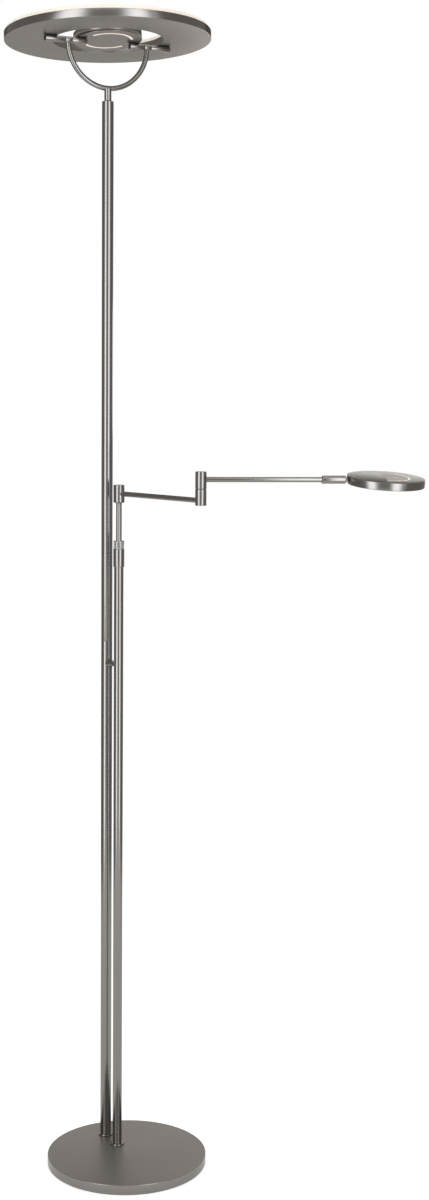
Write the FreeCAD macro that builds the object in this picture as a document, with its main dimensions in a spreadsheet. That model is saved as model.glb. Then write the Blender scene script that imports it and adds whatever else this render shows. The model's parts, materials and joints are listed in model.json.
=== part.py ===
import FreeCAD, Part
import Sketcher
import os
import re

# Floor lamp: a ring-shaped uplighter with a separately tilting centre puck, carried by a U yoke on the
# main pole, and a reading head on a double swing arm carried by a second, height-adjustable pole.
# Frame: +Z up, the front is -Y, the origin is the centre of the underside of the foot.

# ---------------------------------------------------------------- driving dimensions (mm and degrees)
SIZES = {
    # foot
    "base_radius": 128.0,
    "base_height": 16.5,
    "base_wall": 1.5,
    "base_chamfer": 1.2,
    "skirt_lift": 1.0,
    "pad_thickness": 2.0,
    "weight_play": 0.4,
    "driver_length": 92.0,
    "driver_width": 36.0,
    "driver_height": 8.5,
    "driver_offset": 52.0,
    "driver_play": 1.0,
    "grommet_radius": 4.5,
    "grommet_lip": 1.5,
    "grommet_depth": 9.0,
    "lead_hole_radius": 2.6,
    "grommet_level": 8.0,
    # fits
    "seat_play": 0.05,
    "running_fit": 0.05,
    "face_gap": 0.1,
    "open_gap": 0.3,
    "cut_margin": 1.0,
    "edge_break": 0.5,
    # feet of both poles
    "stud_radius": 5.0,
    "stud_bore": 3.5,
    "stud_engagement": 26.0,
    "flange_radius": 11.5,
    "flange_height": 2.0,
    "nut_corner_radius": 10.0,
    "nut_height": 5.0,
    "nut_pocket_radius": 12.0,
    "nut_pocket_depth": 6.0,
    # main pole
    "main_pole_y": 80.0,
    "main_pole_radius": 9.0,
    "main_pole_wall": 1.2,
    "main_pole_top": 1690.8,
    "main_pole_seam": 845.0,
    "main_pole_seam_gap": 0.2,
    "coupler_length": 80.0,
    "coupler_wall": 1.8,
    "top_bush_length": 40.0,
    "lead_channel_width": 6.6,
    # spacer between the poles
    "spacer_level": 810.0,
    "spacer_cup_radius": 6.0,
    "spacer_cup_length": 7.0,
    "spacer_neck_radius": 2.8,
    "spacer_cone_length": 6.0,
    # reading pole
    "reading_pole_y": 36.0,
    "reading_pole_radius": 7.5,
    "reading_pole_wall": 1.2,
    "sleeve_bottom": 968.7,
    "sleeve_length": 27.7,
    "sleeve_radius": 8.75,
    "sleeve_overlap": 16.0,
    "thread_radius": 6.9,
    "thread_length": 7.0,
    "collet_wall": 1.4,
    "collet_length": 24.0,
    "clamp_nut_radius": 8.4,
    "clamp_nut_length": 13.2,
    "knurl_depth": 0.35,
    "knurl_pitch_radius": 0.55,
    # sliding rod
    "rod_radius": 4.5,
    "rod_wall": 1.2,
    "rod_length": 380.0,
    "rod_guide_length": 15.0,
    "rod_plug_length": 24.0,
    # swing arm
    "hinge_level": 1084.2,
    "hinge_barrel_radius": 8.75,
    "hinge_barrel_height": 27.4,
    "washer_thickness": 0.5,
    "washer_radius": 7.6,
    "screw_thread_radius": 2.5,
    "screw_shoulder_radius": 4.0,
    "screw_head_radius": 6.2,
    "screw_head_height": 3.0,
    "head_pocket_radius": 6.7,
    "head_pocket_depth": 6.0,
    "cap_thickness": 1.6,
    "arm_radius": 4.0,
    "arm_wall": 1.0,
    "arm_seat": 6.0,
    "lower_arm_length": 194.0,
    "lower_arm_angle": 13.4,
    "elbow_radius": 8.5,
    "elbow_lower_height": 24.7,
    "elbow_lower_drop": 7.4,
    "elbow_upper_height": 25.5,
    "upper_arm_rise": 13.6,
    "upper_arm_angle": 69.5,
    "upper_arm_length": 184.0,
    "end_sleeve_radius": 6.2,
    "end_sleeve_length": 36.0,
    "end_sleeve_overlap": 13.0,
    "clip_chamber_length": 7.0,
    "clip_chamber_radius": 5.0,
    "clip_radius": 4.6,
    "clip_thickness": 1.2,
    # neck and reading head
    "neck_radius": 3.0,
    "neck_gap": 3.0,
    "neck_tail": 15.0,
    "eye_radius": 3.6,
    "eye_width": 9.8,
    "tilt_pin_radius": 1.25,
    "tilt_pin_inset": 5.0,
    "head_roll": 6.06,
    "head_droop": 1.9,
    "head_radius": 59.5,
    "head_height": 12.0,
    "head_wall": 1.6,
    "head_edge": 0.7,
    "notch_depth": 10.0,
    "boss_depth": 14.0,
    "boss_width": 18.0,
    "boss_drop": 0.3,
    "head_diffuser_height": 2.6,
    "head_board_radius": 52.0,
    "board_thickness": 1.4,
    "head_arc_radius": 35.5,
    "head_arc_width": 2.8,
    "head_arc_start": -97.0,
    "head_arc_sweep": 190.0,
    "head_guide_height": 4.0,
    "chip_size": 3.0,
    "chip_height": 0.8,
    "head_chip_radius": 44.0,
    # yoke
    "pivot_level": 1778.0,
    "yoke_bend_radius": 67.5,
    "yoke_tube_radius": 4.0,
    "yoke_tube_wall": 1.0,
    "yoke_barrel_length": 11.0,
    "yoke_stub_radius": 5.5,
    "yoke_spigot_radius": 4.0,
    "yoke_retainer_radius": 6.6,
    "yoke_retainer_length": 7.0,
    "pivot_tube_radius": 5.0,
    "pivot_flat_depth": 0.4,
    "axle_radius": 2.5,
    "axle_end_gap": 1.0,
    "plug_radius": 3.9,
    "plug_length": 3.0,
    # uplighter ring
    "ring_tilt": -3.1,
    "ring_outer_radius": 160.0,
    "ring_hole_radius": 86.0,
    "ring_height": 12.0,
    "ring_wall": 1.5,
    "ring_edge": 0.6,
    "ring_lip": 4.0,
    "ring_tube_end": 106.0,
    "ring_diffuser_rise": 6.0,
    "ring_diffuser_wall": 2.0,
    "ring_diffuser_round": 1.2,
    "ring_board_play": 0.4,
    "ring_chip_radius": 124.0,
    # centre puck
    "puck_tilt": -7.5,
    "puck_radius": 53.0,
    "puck_height": 12.0,
    "puck_tube_end": 37.0,
    "puck_diffuser_rise": 3.0,
    "puck_arc_radius": 37.0,
    "puck_arc_width": 4.4,
    "puck_arc_sweep": 118.0,
    "puck_guide_height": 4.0,
    "puck_chip_radius": 30.0,
}
RING_CHIPS = 36
HEAD_CHIPS = 16
PUCK_CHIPS = 12
KNURLS = 30

doc = FreeCAD.newDocument("floor_lamp")
sheet = doc.addObject("Spreadsheet::Sheet", "Sizes")
for row, (alias, number) in enumerate(SIZES.items(), start=1):
    sheet.set("A%d" % row, alias)
    sheet.set("B%d" % row, str(number))
    sheet.setAlias("B%d" % row, alias)
doc.recompute()

NODES = []
WORD = re.compile(r"[a-z][a-z_0-9]*")


def sized(expression):
    """An expression in words from the sheet, with each word pointed at its cell."""
    return WORD.sub(lambda m: "Sizes." + m.group(0) if m.group(0) in SIZES else m.group(0), expression)


def turn(axis, angle):
    """A rotation about one axis of the frame, as an expression."""
    direction = {"x": "1; 0; 0", "y": "0; 1; 0", "z": "0; 0; 1"}[axis]
    return "rotation(vector(%s); %s)" % (direction, angle)


def at(x="0", y="0", z="0", turns=()):
    """A placement expression: a point and the turns that follow one another from it."""
    rotation = " * ".join(turns) if turns else turn("z", "0")
    return "placement(vector(%s; %s; %s); %s)" % (x, y, z, rotation)


def placed(shape_object, placement):
    """Binds a shape's placement to the sheet."""
    if placement:
        shape_object.setExpression("Placement", sized(placement))
    return shape_object


def node(shape_object, label):
    """Names a finished sub-part; the label names its file."""
    shape_object.Label = label
    NODES.append(shape_object)
    return shape_object


def cylinder(name, radius, length, placement="", angle="360"):
    item = doc.addObject("Part::Cylinder", name)
    item.setExpression("Radius", sized(radius))
    item.setExpression("Height", sized(length))
    item.setExpression("Angle", sized(angle))
    return placed(item, placement)


def block(name, length, width, height, placement=""):
    """A box whose length runs along X, centred on Y, standing on its placement."""
    item = doc.addObject("Part::Box", name)
    item.setExpression("Length", sized(length))
    item.setExpression("Width", sized(width))
    item.setExpression("Height", sized(height))
    return placed(item, placement)


def cut(name, base, *tools):
    item = doc.addObject("Part::Cut", name)
    item.Base = base
    item.Tool = tools[0] if len(tools) == 1 else fuse(name + "_tools", *tools)
    return item


def fuse(name, *shapes):
    item = doc.addObject("Part::MultiFuse", name)
    item.Shapes = list(shapes)
    return item


def common(name, *shapes):
    item = doc.addObject("Part::MultiCommon", name)
    item.Shapes = list(shapes)
    return item


def group(name, shapes):
    item = doc.addObject("Part::Compound", name)
    item.Links = list(shapes)
    return item


def turned(name, corners, placement=""):
    """A turned piece: a closed outline of (radius, level) corners revolved about its own Z axis."""
    body = doc.addObject("PartDesign::Body", name)
    outline = body.newObject("Sketcher::SketchObject", name + "_outline")
    plane = [f for f in body.Origin.OriginFeatures if f.Role == "XZ_Plane"][0]
    outline.AttachmentSupport = (plane, [""])
    outline.MapMode = "FlatFace"
    count = len(corners)
    start = [FreeCAD.Vector(count + i, i * i + 1, 0) for i in range(count)]
    for i in range(count):
        outline.addGeometry(Part.LineSegment(start[i], start[(i + 1) % count]), False)
    for i in range(count):
        outline.addConstraint(Sketcher.Constraint("Coincident", i, 2, (i + 1) % count, 1))
    for i, (radius, level) in enumerate(corners):
        across = outline.addConstraint(Sketcher.Constraint("DistanceX", -1, 1, i, 1, start[i].x))
        outline.setExpression("Constraints[%d]" % across, sized(radius))
        along = outline.addConstraint(Sketcher.Constraint("DistanceY", -1, 1, i, 1, start[i].y))
        outline.setExpression("Constraints[%d]" % along, sized(level))
    revolved = body.newObject("PartDesign::Revolution", name + "_turned")
    revolved.Profile = outline
    revolved.ReferenceAxis = (outline, ["V_Axis"])
    revolved.Angle = 360
    body.Tip = revolved
    return placed(body, placement)


def tube(name, outer, inner, low, high, placement="", bevel=""):
    """A turned tube between two levels, with its outer edges broken where a bevel is given."""
    if not bevel:
        return turned(name, [(inner, low), (outer, low), (outer, high), (inner, high)], placement)
    corners = [(inner, low), (outer + " - " + bevel, low), (outer, low + " + " + bevel),
               (outer, high + " - " + bevel), (outer + " - " + bevel, high), (inner, high)]
    return turned(name, corners, placement)


def rod(name, radius, low, high, placement="", bevel=""):
    return tube(name, radius, "0", low, high, placement, bevel)


def arc_bar(name, radius, width, low, height, start, sweep):
    """A bar bent along an arc about Z, with round ends, between two levels."""
    half = "(%s) / 2" % width
    middle = at(z=low, turns=[turn("z", start)])
    outer = cylinder(name + "_outer", "%s + %s" % (radius, half), height, middle, sweep)
    inner = cylinder(name + "_inner", "%s - %s" % (radius, half), height, middle, sweep)
    bar = cut(name + "_bar", outer, inner)
    ends = []
    for end, angle in (("first", start), ("last", "%s + %s" % (start, sweep))):
        spot = at("(%s) * cos(%s)" % (radius, angle), "(%s) * sin(%s)" % (radius, angle), low)
        ends.append(cylinder("%s_%s_end" % (name, end), half, height, spot))
    return fuse(name + "_round", bar, *ends)


def chips(name, count, radius, low):
    """A circle of square LED chips."""
    made = []
    for i in range(count):
        angle = "%d * 360 / %d" % (i, count)
        spot = at("%s * cos(%s) - chip_size / 2" % (radius, angle),
                  "%s * sin(%s) - chip_size / 2" % (radius, angle), low)
        made.append(block("%s_%d" % (name, i), "chip_size", "chip_size", "chip_height", spot))
    return group(name, made)


# ---------------------------------------------------------------- foot
BASE_TOP = "base_height"
COVER_UNDER = "(base_height - base_wall)"
MAIN_AT = at(y="main_pole_y")
READING_AT = at(y="reading_pole_y")
STUD_HOLE = "stud_radius + seat_play"


def stud_holes(name):
    """The two holes through which the pole studs pass."""
    depth = "base_height + 2 * cut_margin"
    return [cylinder(name + "_main_hole", STUD_HOLE, depth, at(y="main_pole_y", z="0 - cut_margin")),
            cylinder(name + "_reading_hole", STUD_HOLE, depth, at(y="reading_pole_y", z="0 - cut_margin"))]


def base_cover():
    shell = turned("base_cover_shell", [
        ("0", COVER_UNDER), ("base_radius - base_wall", COVER_UNDER), ("base_radius - base_wall", "skirt_lift"),
        ("base_radius", "skirt_lift"), ("base_radius", "base_height - base_chamfer"),
        ("base_radius - base_chamfer", "base_height"), ("0", "base_height")])
    lead_way = cylinder("base_cover_lead_way", "grommet_radius + seat_play", "base_wall + 2 * cut_margin",
                        at(y="base_radius + cut_margin", z="grommet_level", turns=[turn("x", "90")]))
    node(cut("base_cover", shell, lead_way, *stud_holes("base_cover")), "base_cover")


def base_weight():
    disc = tube("base_weight_disc", "base_radius - base_wall - weight_play", "0", "pad_thickness", COVER_UNDER)
    pockets = [cylinder("base_weight_%s_pocket" % pole, "nut_pocket_radius", "nut_pocket_depth + cut_margin",
                        at(y=pole + "_pole_y", z="pad_thickness - cut_margin")) for pole in ("main", "reading")]
    bay = block("base_weight_driver_bay", "driver_length + 2 * driver_play", "driver_width + 2 * driver_play",
                "driver_height + driver_play + cut_margin",
                at("0 - driver_length / 2 - driver_play",
                   "0 - driver_offset - driver_width / 2 - driver_play", "pad_thickness - cut_margin"))
    channel = block("base_weight_lead_channel", "lead_channel_width",
                    "driver_offset + base_radius", "grommet_level + grommet_radius + open_gap - pad_thickness",
                    at("grommet_radius + nut_pocket_radius", "0 - driver_offset", "pad_thickness - cut_margin"))
    inlet = block("base_weight_inlet_bay", "2 * grommet_radius + nut_pocket_radius + lead_channel_width",
                  "grommet_depth + 2 * cut_margin",
                  "grommet_level + grommet_radius + open_gap + grommet_lip + cut_margin - pad_thickness",
                  at("0 - grommet_radius - grommet_lip", "base_radius - base_wall - grommet_depth",
                     "pad_thickness - cut_margin"))
    node(cut("base_weight", disc, bay, channel, inlet, *(pockets + stud_holes("base_weight"))), "base_weight")


def base_small_parts():
    node(tube("base_pad", "base_radius - base_wall - weight_play", "0", "0", "pad_thickness"), "base_pad")
    node(block("led_driver", "driver_length", "driver_width", "driver_height",
               at("0 - driver_length / 2", "0 - driver_offset - driver_width / 2", "pad_thickness")),
         "led_driver")
    # the grommet's axis points outwards through the rim; its waist sits in the hole
    waist = "grommet_radius"
    lip = "grommet_radius + grommet_lip"
    inner_face = "base_radius - base_wall"
    node(turned("cord_grommet", [
        ("lead_hole_radius", inner_face + " - grommet_depth + grommet_lip"),
        (waist + " - edge_break", inner_face + " - grommet_depth + grommet_lip"),
        (waist, inner_face + " - grommet_lip - open_gap"), (lip, inner_face + " - grommet_lip - open_gap"),
        (lip, inner_face + " - open_gap"), (waist, inner_face + " - open_gap"),
        (waist, "base_radius + open_gap"), (lip + " - edge_break", "base_radius + open_gap"),
        (lip + " - grommet_lip / 2", "base_radius + open_gap + grommet_lip"),
        ("lead_hole_radius", "base_radius + open_gap + grommet_lip")],
        at(z="grommet_level", turns=[turn("x", "0 - 90")])), "cord_grommet")


def pole_foot(pole):
    """Flange, threaded stud and locknut that hold one pole to the foot."""
    where = at(y=pole + "_pole_y")
    inside = "%s_pole_radius - %s_pole_wall - seat_play" % (pole, pole)
    node(tube(pole + "_pole_flange", "flange_radius", STUD_HOLE, BASE_TOP, BASE_TOP + " + flange_height",
              where, "edge_break"), pole + "_pole_flange")
    shoulder = BASE_TOP + " + flange_height"
    node(turned(pole + "_pole_stud", [
        ("stud_bore", "pad_thickness + face_gap"), ("stud_radius", "pad_thickness + face_gap"),
        ("stud_radius", shoulder), (inside, shoulder),
        (inside, shoulder + " + stud_engagement"), ("stud_bore", shoulder + " + stud_engagement")], where),
        pole + "_pole_stud")
    hexagon = doc.addObject("Part::Prism", pole + "_nut_hexagon")
    hexagon.Polygon = 6
    hexagon.setExpression("Circumradius", sized("nut_corner_radius"))
    hexagon.setExpression("Height", sized("nut_height"))
    top = "pad_thickness + nut_pocket_depth - nut_height"
    placed(hexagon, at(y=pole + "_pole_y", z=top))
    bore = cylinder(pole + "_nut_bore", STUD_HOLE, "nut_height + 2 * cut_margin",
                    at(y=pole + "_pole_y", z=top + " - cut_margin"))
    node(cut(pole + "_pole_locknut", hexagon, bore), pole + "_pole_locknut")


# ---------------------------------------------------------------- main pole
POLE_FOOT = "base_height + flange_height"
MAIN_BORE = "main_pole_radius - main_pole_wall"


def main_pole():
    node(tube("main_pole_lower", "main_pole_radius", MAIN_BORE, POLE_FOOT,
              "main_pole_seam - main_pole_seam_gap / 2", MAIN_AT), "main_pole_lower")
    node(turned("main_pole_upper", [
        (MAIN_BORE, "main_pole_seam + main_pole_seam_gap / 2"),
        ("main_pole_radius", "main_pole_seam + main_pole_seam_gap / 2"),
        ("main_pole_radius", "main_pole_top - edge_break"),
        ("main_pole_radius - edge_break", "main_pole_top"), (MAIN_BORE, "main_pole_top")], MAIN_AT),
        "main_pole_upper")
    node(tube("pole_coupler", MAIN_BORE + " - seat_play", MAIN_BORE + " - seat_play - coupler_wall",
              "main_pole_seam - coupler_length / 2", "main_pole_seam + coupler_length / 2", MAIN_AT),
         "pole_coupler")
    node(tube("pole_top_bush", MAIN_BORE + " - seat_play", "yoke_spigot_radius + running_fit",
              "main_pole_top - top_bush_length", "main_pole_top - face_gap", MAIN_AT), "pole_top_bush")


def pole_spacer():
    """A turned peg whose wide cup meets the main pole and whose neck meets the reading pole."""
    start = "main_pole_y"
    cup = "main_pole_radius + spacer_cup_length"
    peg = turned("pole_spacer_peg", [
        ("0", "0"), ("spacer_cup_radius", "0"), ("spacer_cup_radius", cup),
        ("spacer_neck_radius", cup + " + spacer_cone_length"),
        ("spacer_neck_radius", "main_pole_y - reading_pole_y"), ("0", "main_pole_y - reading_pole_y")],
        at(y=start, z="spacer_level", turns=[turn("x", "90")]))
    reach = "4 * spacer_cup_radius"
    low = "spacer_level - 2 * spacer_cup_radius"
    main_way = cylinder("pole_spacer_main_way", "main_pole_radius + seat_play", reach,
                        at(y="main_pole_y", z=low))
    reading_way = cylinder("pole_spacer_reading_way", "reading_pole_radius + seat_play", reach,
                           at(y="reading_pole_y", z=low))
    node(cut("pole_spacer", peg, main_way, reading_way), "pole_spacer")


# ---------------------------------------------------------------- reading pole and its height clamp
SLEEVE_TOP = "sleeve_bottom + sleeve_length"
POLE_TOP = "sleeve_bottom + sleeve_overlap"
COLLET_OUTER = "rod_radius + running_fit + collet_wall"
NUT_LOW = SLEEVE_TOP + " + face_gap"
NUT_TOP = NUT_LOW + " + clamp_nut_length"


def reading_pole():
    node(tube("reading_pole", "reading_pole_radius", "reading_pole_radius - reading_pole_wall", POLE_FOOT,
              POLE_TOP, READING_AT), "reading_pole")
    bore = COLLET_OUTER + " + seat_play"
    node(turned("reading_pole_sleeve", [
        ("reading_pole_radius + seat_play", "sleeve_bottom"), ("sleeve_radius - edge_break", "sleeve_bottom"),
        ("sleeve_radius", "sleeve_bottom + edge_break"), ("sleeve_radius", SLEEVE_TOP + " - edge_break"),
        ("sleeve_radius - edge_break", SLEEVE_TOP), ("thread_radius", SLEEVE_TOP),
        ("thread_radius", SLEEVE_TOP + " + thread_length"), (bore, SLEEVE_TOP + " + thread_length"),
        (bore, POLE_TOP), ("reading_pole_radius + seat_play", POLE_TOP)], READING_AT), "reading_pole_sleeve")
    node(tube("clamp_collet", COLLET_OUTER, "rod_radius + running_fit",
              SLEEVE_TOP + " + thread_length - collet_length", SLEEVE_TOP + " + thread_length", READING_AT),
         "clamp_collet")


def clamp_nut():
    """The knurled nut: a turned cap whose grip is cut by flutes round its rim."""
    roof = SLEEVE_TOP + " + thread_length + open_gap"
    blank = turned("clamp_nut_blank", [
        ("thread_radius + running_fit", NUT_LOW), ("clamp_nut_radius - edge_break", NUT_LOW),
        ("clamp_nut_radius", NUT_LOW + " + edge_break"), ("clamp_nut_radius", NUT_TOP + " - edge_break"),
        ("clamp_nut_radius - edge_break", NUT_TOP), ("rod_radius + open_gap", NUT_TOP),
        ("rod_radius + open_gap", roof), ("thread_radius + running_fit", roof)], READING_AT)
    ring = "(clamp_nut_radius + knurl_pitch_radius - knurl_depth)"
    grip = "clamp_nut_length - 4 * edge_break"
    flutes = []
    for i in range(KNURLS):
        angle = "%d * 360 / %d" % (i, KNURLS)
        spot = at("%s * cos(%s)" % (ring, angle), "reading_pole_y + %s * sin(%s)" % (ring, angle),
                  NUT_LOW + " + 2 * edge_break")
        flutes.append(cylinder("clamp_nut_flute_%d" % i, "knurl_pitch_radius", grip, spot))
    node(cut("clamp_nut", blank, *flutes), "clamp_nut")


# ---------------------------------------------------------------- sliding rod and its hinge screw
HINGE_LOW = "hinge_level - hinge_barrel_height / 2"
ROD_TOP = HINGE_LOW + " - washer_thickness - face_gap"
ROD_LOW = ROD_TOP + " - rod_length"
ROD_BORE = "rod_radius - rod_wall"


def shoulder_screw(name, floor, pocket_floor, thread, placement):
    """A screw whose shoulder is the pivot of a barrel and whose head lies in the barrel's pocket."""
    node(turned(name, [
        ("0", floor + " - " + thread), ("screw_thread_radius - edge_break", floor + " - " + thread),
        ("screw_thread_radius", floor + " - " + thread + " + edge_break"), ("screw_thread_radius", floor),
        ("screw_shoulder_radius", floor), ("screw_shoulder_radius", pocket_floor + " + face_gap"),
        ("screw_head_radius", pocket_floor + " + face_gap"),
        ("screw_head_radius", pocket_floor + " + face_gap + screw_head_height"),
        ("0", pocket_floor + " + face_gap + screw_head_height")], placement), name)


def sliding_rod():
    node(tube("reading_rod", "rod_radius", ROD_BORE, ROD_LOW, ROD_TOP, READING_AT), "reading_rod")
    bore = "reading_pole_radius - reading_pole_wall"
    guide_low = ROD_LOW + " - rod_guide_length / 3"
    node(turned("rod_guide", [
        ("0", guide_low), (bore + " - running_fit", guide_low),
        (bore + " - running_fit", ROD_LOW + " + rod_guide_length"),
        ("rod_radius + seat_play", ROD_LOW + " + rod_guide_length"), ("rod_radius + seat_play", ROD_LOW),
        ("0", ROD_LOW)], READING_AT), "rod_guide")
    node(tube("rod_end_plug", ROD_BORE + " - seat_play", "screw_thread_radius + seat_play / 2",
              ROD_TOP + " - rod_plug_length", ROD_TOP, READING_AT), "rod_end_plug")
    node(tube("hinge_washer", "washer_radius", "screw_thread_radius + seat_play", ROD_TOP,
              ROD_TOP + " + washer_thickness", READING_AT), "hinge_washer")
    shoulder_screw("hinge_screw", ROD_TOP + " + washer_thickness",
                   "hinge_level + hinge_barrel_height / 2 - head_pocket_depth",
                   "rod_plug_length + edge_break", READING_AT)


# ---------------------------------------------------------------- lower arm
LOWER_HEADING = "lower_arm_angle - 90"
UPPER_HEADING = "upper_arm_angle - 90"
ELBOW_X = "lower_arm_length * sin(lower_arm_angle)"
ELBOW_Y = "reading_pole_y - lower_arm_length * cos(lower_arm_angle)"
ELBOW_SEAM = "hinge_level - elbow_lower_drop + elbow_lower_height"
UPPER_LOW = ELBOW_SEAM + " + washer_thickness + face_gap"
UPPER_LEVEL = "(" + UPPER_LOW + " + upper_arm_rise)"
UPPER_TOP = UPPER_LOW + " + elbow_upper_height"
ELBOW_AT = at(ELBOW_X, ELBOW_Y)


def pivot_barrel(name, radius, low, high, placement):
    """A barrel that turns on a shoulder screw: a bore, and a pocket for the head and the cap."""
    pocket = high + " - head_pocket_depth"
    return turned(name, [
        ("screw_shoulder_radius + running_fit", low), (radius + " - edge_break", low),
        (radius, low + " + edge_break"), (radius, high + " - edge_break"), (radius + " - edge_break", high),
        ("head_pocket_radius", high), ("head_pocket_radius", pocket),
        ("screw_shoulder_radius + running_fit", pocket)], placement)


def arm_seat(name, x, y, level, heading, start):
    """The blind hole in a barrel in which an arm tube ends."""
    return cylinder(name, "arm_radius + seat_play", "3 * arm_radius",
                    at("%s + (%s) * cos(%s)" % (x, start, heading), "%s + (%s) * sin(%s)" % (y, start, heading),
                       level, [turn("z", heading), turn("y", "90")]))


def along(x, y, level, heading):
    """A frame whose Z axis runs out along an arm from a pivot."""
    return at(x, y, level, [turn("z", heading), turn("y", "90")])


def lower_arm():
    low = HINGE_LOW
    top = "hinge_level + hinge_barrel_height / 2"
    barrel = pivot_barrel("hinge_barrel_blank", "hinge_barrel_radius", low, top, READING_AT)
    seat = arm_seat("hinge_barrel_seat", "0", "reading_pole_y", "hinge_level", LOWER_HEADING, "arm_seat")
    node(cut("hinge_barrel", barrel, seat), "hinge_barrel")
    node(rod("hinge_cap", "head_pocket_radius - seat_play", top + " - cap_thickness", top, READING_AT),
         "hinge_cap")
    node(tube("lower_arm", "arm_radius", "arm_radius - arm_wall", "arm_seat + seat_play",
              "lower_arm_length - arm_seat - seat_play", along("0", "reading_pole_y", "hinge_level",
                                                               LOWER_HEADING)), "lower_arm")
    bottom = "hinge_level - elbow_lower_drop"
    bore_floor = "hinge_level + arm_radius + edge_break"
    thread_hole = "screw_thread_radius + seat_play / 2"
    solid = turned("elbow_lower_blank", [
        ("0", bottom), ("elbow_radius - edge_break", bottom), ("elbow_radius", bottom + " + edge_break"),
        ("elbow_radius", ELBOW_SEAM + " - edge_break / 2"), ("elbow_radius - edge_break / 2", ELBOW_SEAM),
        (thread_hole, ELBOW_SEAM), (thread_hole, bore_floor),
        ("0", bore_floor)], ELBOW_AT)
    elbow_seat = arm_seat("elbow_lower_seat", ELBOW_X, ELBOW_Y, "hinge_level", "lower_arm_angle + 90",
                          "arm_seat")
    node(cut("elbow_lower_barrel", solid, elbow_seat), "elbow_lower_barrel")
    node(tube("elbow_washer", "washer_radius", "screw_thread_radius + seat_play", ELBOW_SEAM,
              ELBOW_SEAM + " + washer_thickness", ELBOW_AT), "elbow_washer")
    shoulder_screw("elbow_screw", ELBOW_SEAM + " + washer_thickness", UPPER_TOP + " - head_pocket_depth",
                   "washer_thickness + elbow_lower_height - elbow_lower_drop - arm_radius - 2 * edge_break",
                   ELBOW_AT)


# ---------------------------------------------------------------- upper arm
SLEEVE_END = "upper_arm_length + end_sleeve_length"
CHAMBER_LOW = "upper_arm_length + end_sleeve_overlap"
CHAMBER_TOP = CHAMBER_LOW + " + clip_chamber_length"
UPPER_AT = along(ELBOW_X, ELBOW_Y, UPPER_LEVEL, UPPER_HEADING)


def upper_arm():
    barrel = pivot_barrel("elbow_upper_blank", "elbow_radius", UPPER_LOW, UPPER_TOP, ELBOW_AT)
    seat = arm_seat("elbow_upper_seat", ELBOW_X, ELBOW_Y, UPPER_LEVEL, UPPER_HEADING, "arm_seat")
    node(cut("elbow_upper_barrel", barrel, seat), "elbow_upper_barrel")
    node(rod("elbow_cap", "head_pocket_radius - seat_play", UPPER_TOP + " - cap_thickness", UPPER_TOP,
             ELBOW_AT), "elbow_cap")
    node(tube("upper_arm", "arm_radius", "arm_radius - arm_wall", "arm_seat + seat_play",
              CHAMBER_LOW, UPPER_AT), "upper_arm")
    node(turned("arm_end_sleeve", [
        ("arm_radius + seat_play", "upper_arm_length"), ("end_sleeve_radius - edge_break", "upper_arm_length"),
        ("end_sleeve_radius", "upper_arm_length + edge_break"),
        ("end_sleeve_radius", SLEEVE_END + " - edge_break"), ("end_sleeve_radius - edge_break", SLEEVE_END),
        ("neck_radius + running_fit", SLEEVE_END), ("neck_radius + running_fit", CHAMBER_TOP),
        ("clip_chamber_radius", CHAMBER_TOP), ("clip_chamber_radius", CHAMBER_LOW),
        ("arm_radius + seat_play", CHAMBER_LOW)], UPPER_AT), "arm_end_sleeve")


# ---------------------------------------------------------------- neck and reading head
PIN_REACH = SLEEVE_END + " + neck_gap + tilt_pin_inset"
PIN_X = ELBOW_X + " + (" + PIN_REACH + ") * cos(" + UPPER_HEADING + ")"
PIN_Y = ELBOW_Y + " + (" + PIN_REACH + ") * sin(" + UPPER_HEADING + ")"
NECK_AT = at(PIN_X, PIN_Y, UPPER_LEVEL, [turn("z", UPPER_HEADING), turn("x", "head_roll")])
HEAD_AT = at(PIN_X, PIN_Y, UPPER_LEVEL,
             [turn("z", UPPER_HEADING), turn("x", "head_roll"), turn("y", "head_droop")])
HEAD_CENTRE = "head_radius - tilt_pin_inset"
HEAD_LOW = "0 - head_height / 2"
ROOF = "(head_height / 2 - head_wall)"


def neck():
    """The neck turns in the arm's end sleeve; its flat eye takes the tilt pin."""
    tail = "neck_gap + tilt_pin_inset + neck_tail + edge_break"
    stem = cylinder("head_neck_stem", "neck_radius", tail, at("0 - (%s)" % tail, turns=[turn("y", "90")]))
    eye = cylinder("head_neck_eye", "eye_radius", "eye_width", at(y="eye_width / 2", turns=[turn("x", "90")]))
    bore = cylinder("head_neck_bore", "tilt_pin_radius + running_fit", "eye_width + 2 * cut_margin",
                    at(y="eye_width / 2 + cut_margin", turns=[turn("x", "90")]))
    node(placed(cut("head_neck", fuse("head_neck_blank", stem, eye), bore), NECK_AT), "head_neck")
    clip_start = "neck_gap + tilt_pin_inset + end_sleeve_length - end_sleeve_overlap - clip_chamber_length"
    ring = tube("neck_clip_ring", "clip_radius", "neck_radius + seat_play / 2",
                "0 - (%s) - face_gap - clip_thickness" % clip_start, "0 - (%s) - face_gap" % clip_start,
                at(turns=[turn("y", "90")]))
    node(placed(group("neck_clip", [ring]), NECK_AT), "neck_clip")


def boss_box(name, play):
    """The space of the hinge boss at the rim of the head, with play on its free sides."""
    height = "head_height / 2 + %s - boss_drop + %s" % (ROOF, play)
    low = "%s + boss_drop - %s" % (HEAD_LOW, play)
    return block(name, "boss_depth + %s + cut_margin" % play, "boss_width + 2 * (%s)" % play, height,
                 at("0 - tilt_pin_inset - cut_margin", "0 - boss_width / 2 - (%s)" % play, low))


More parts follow.
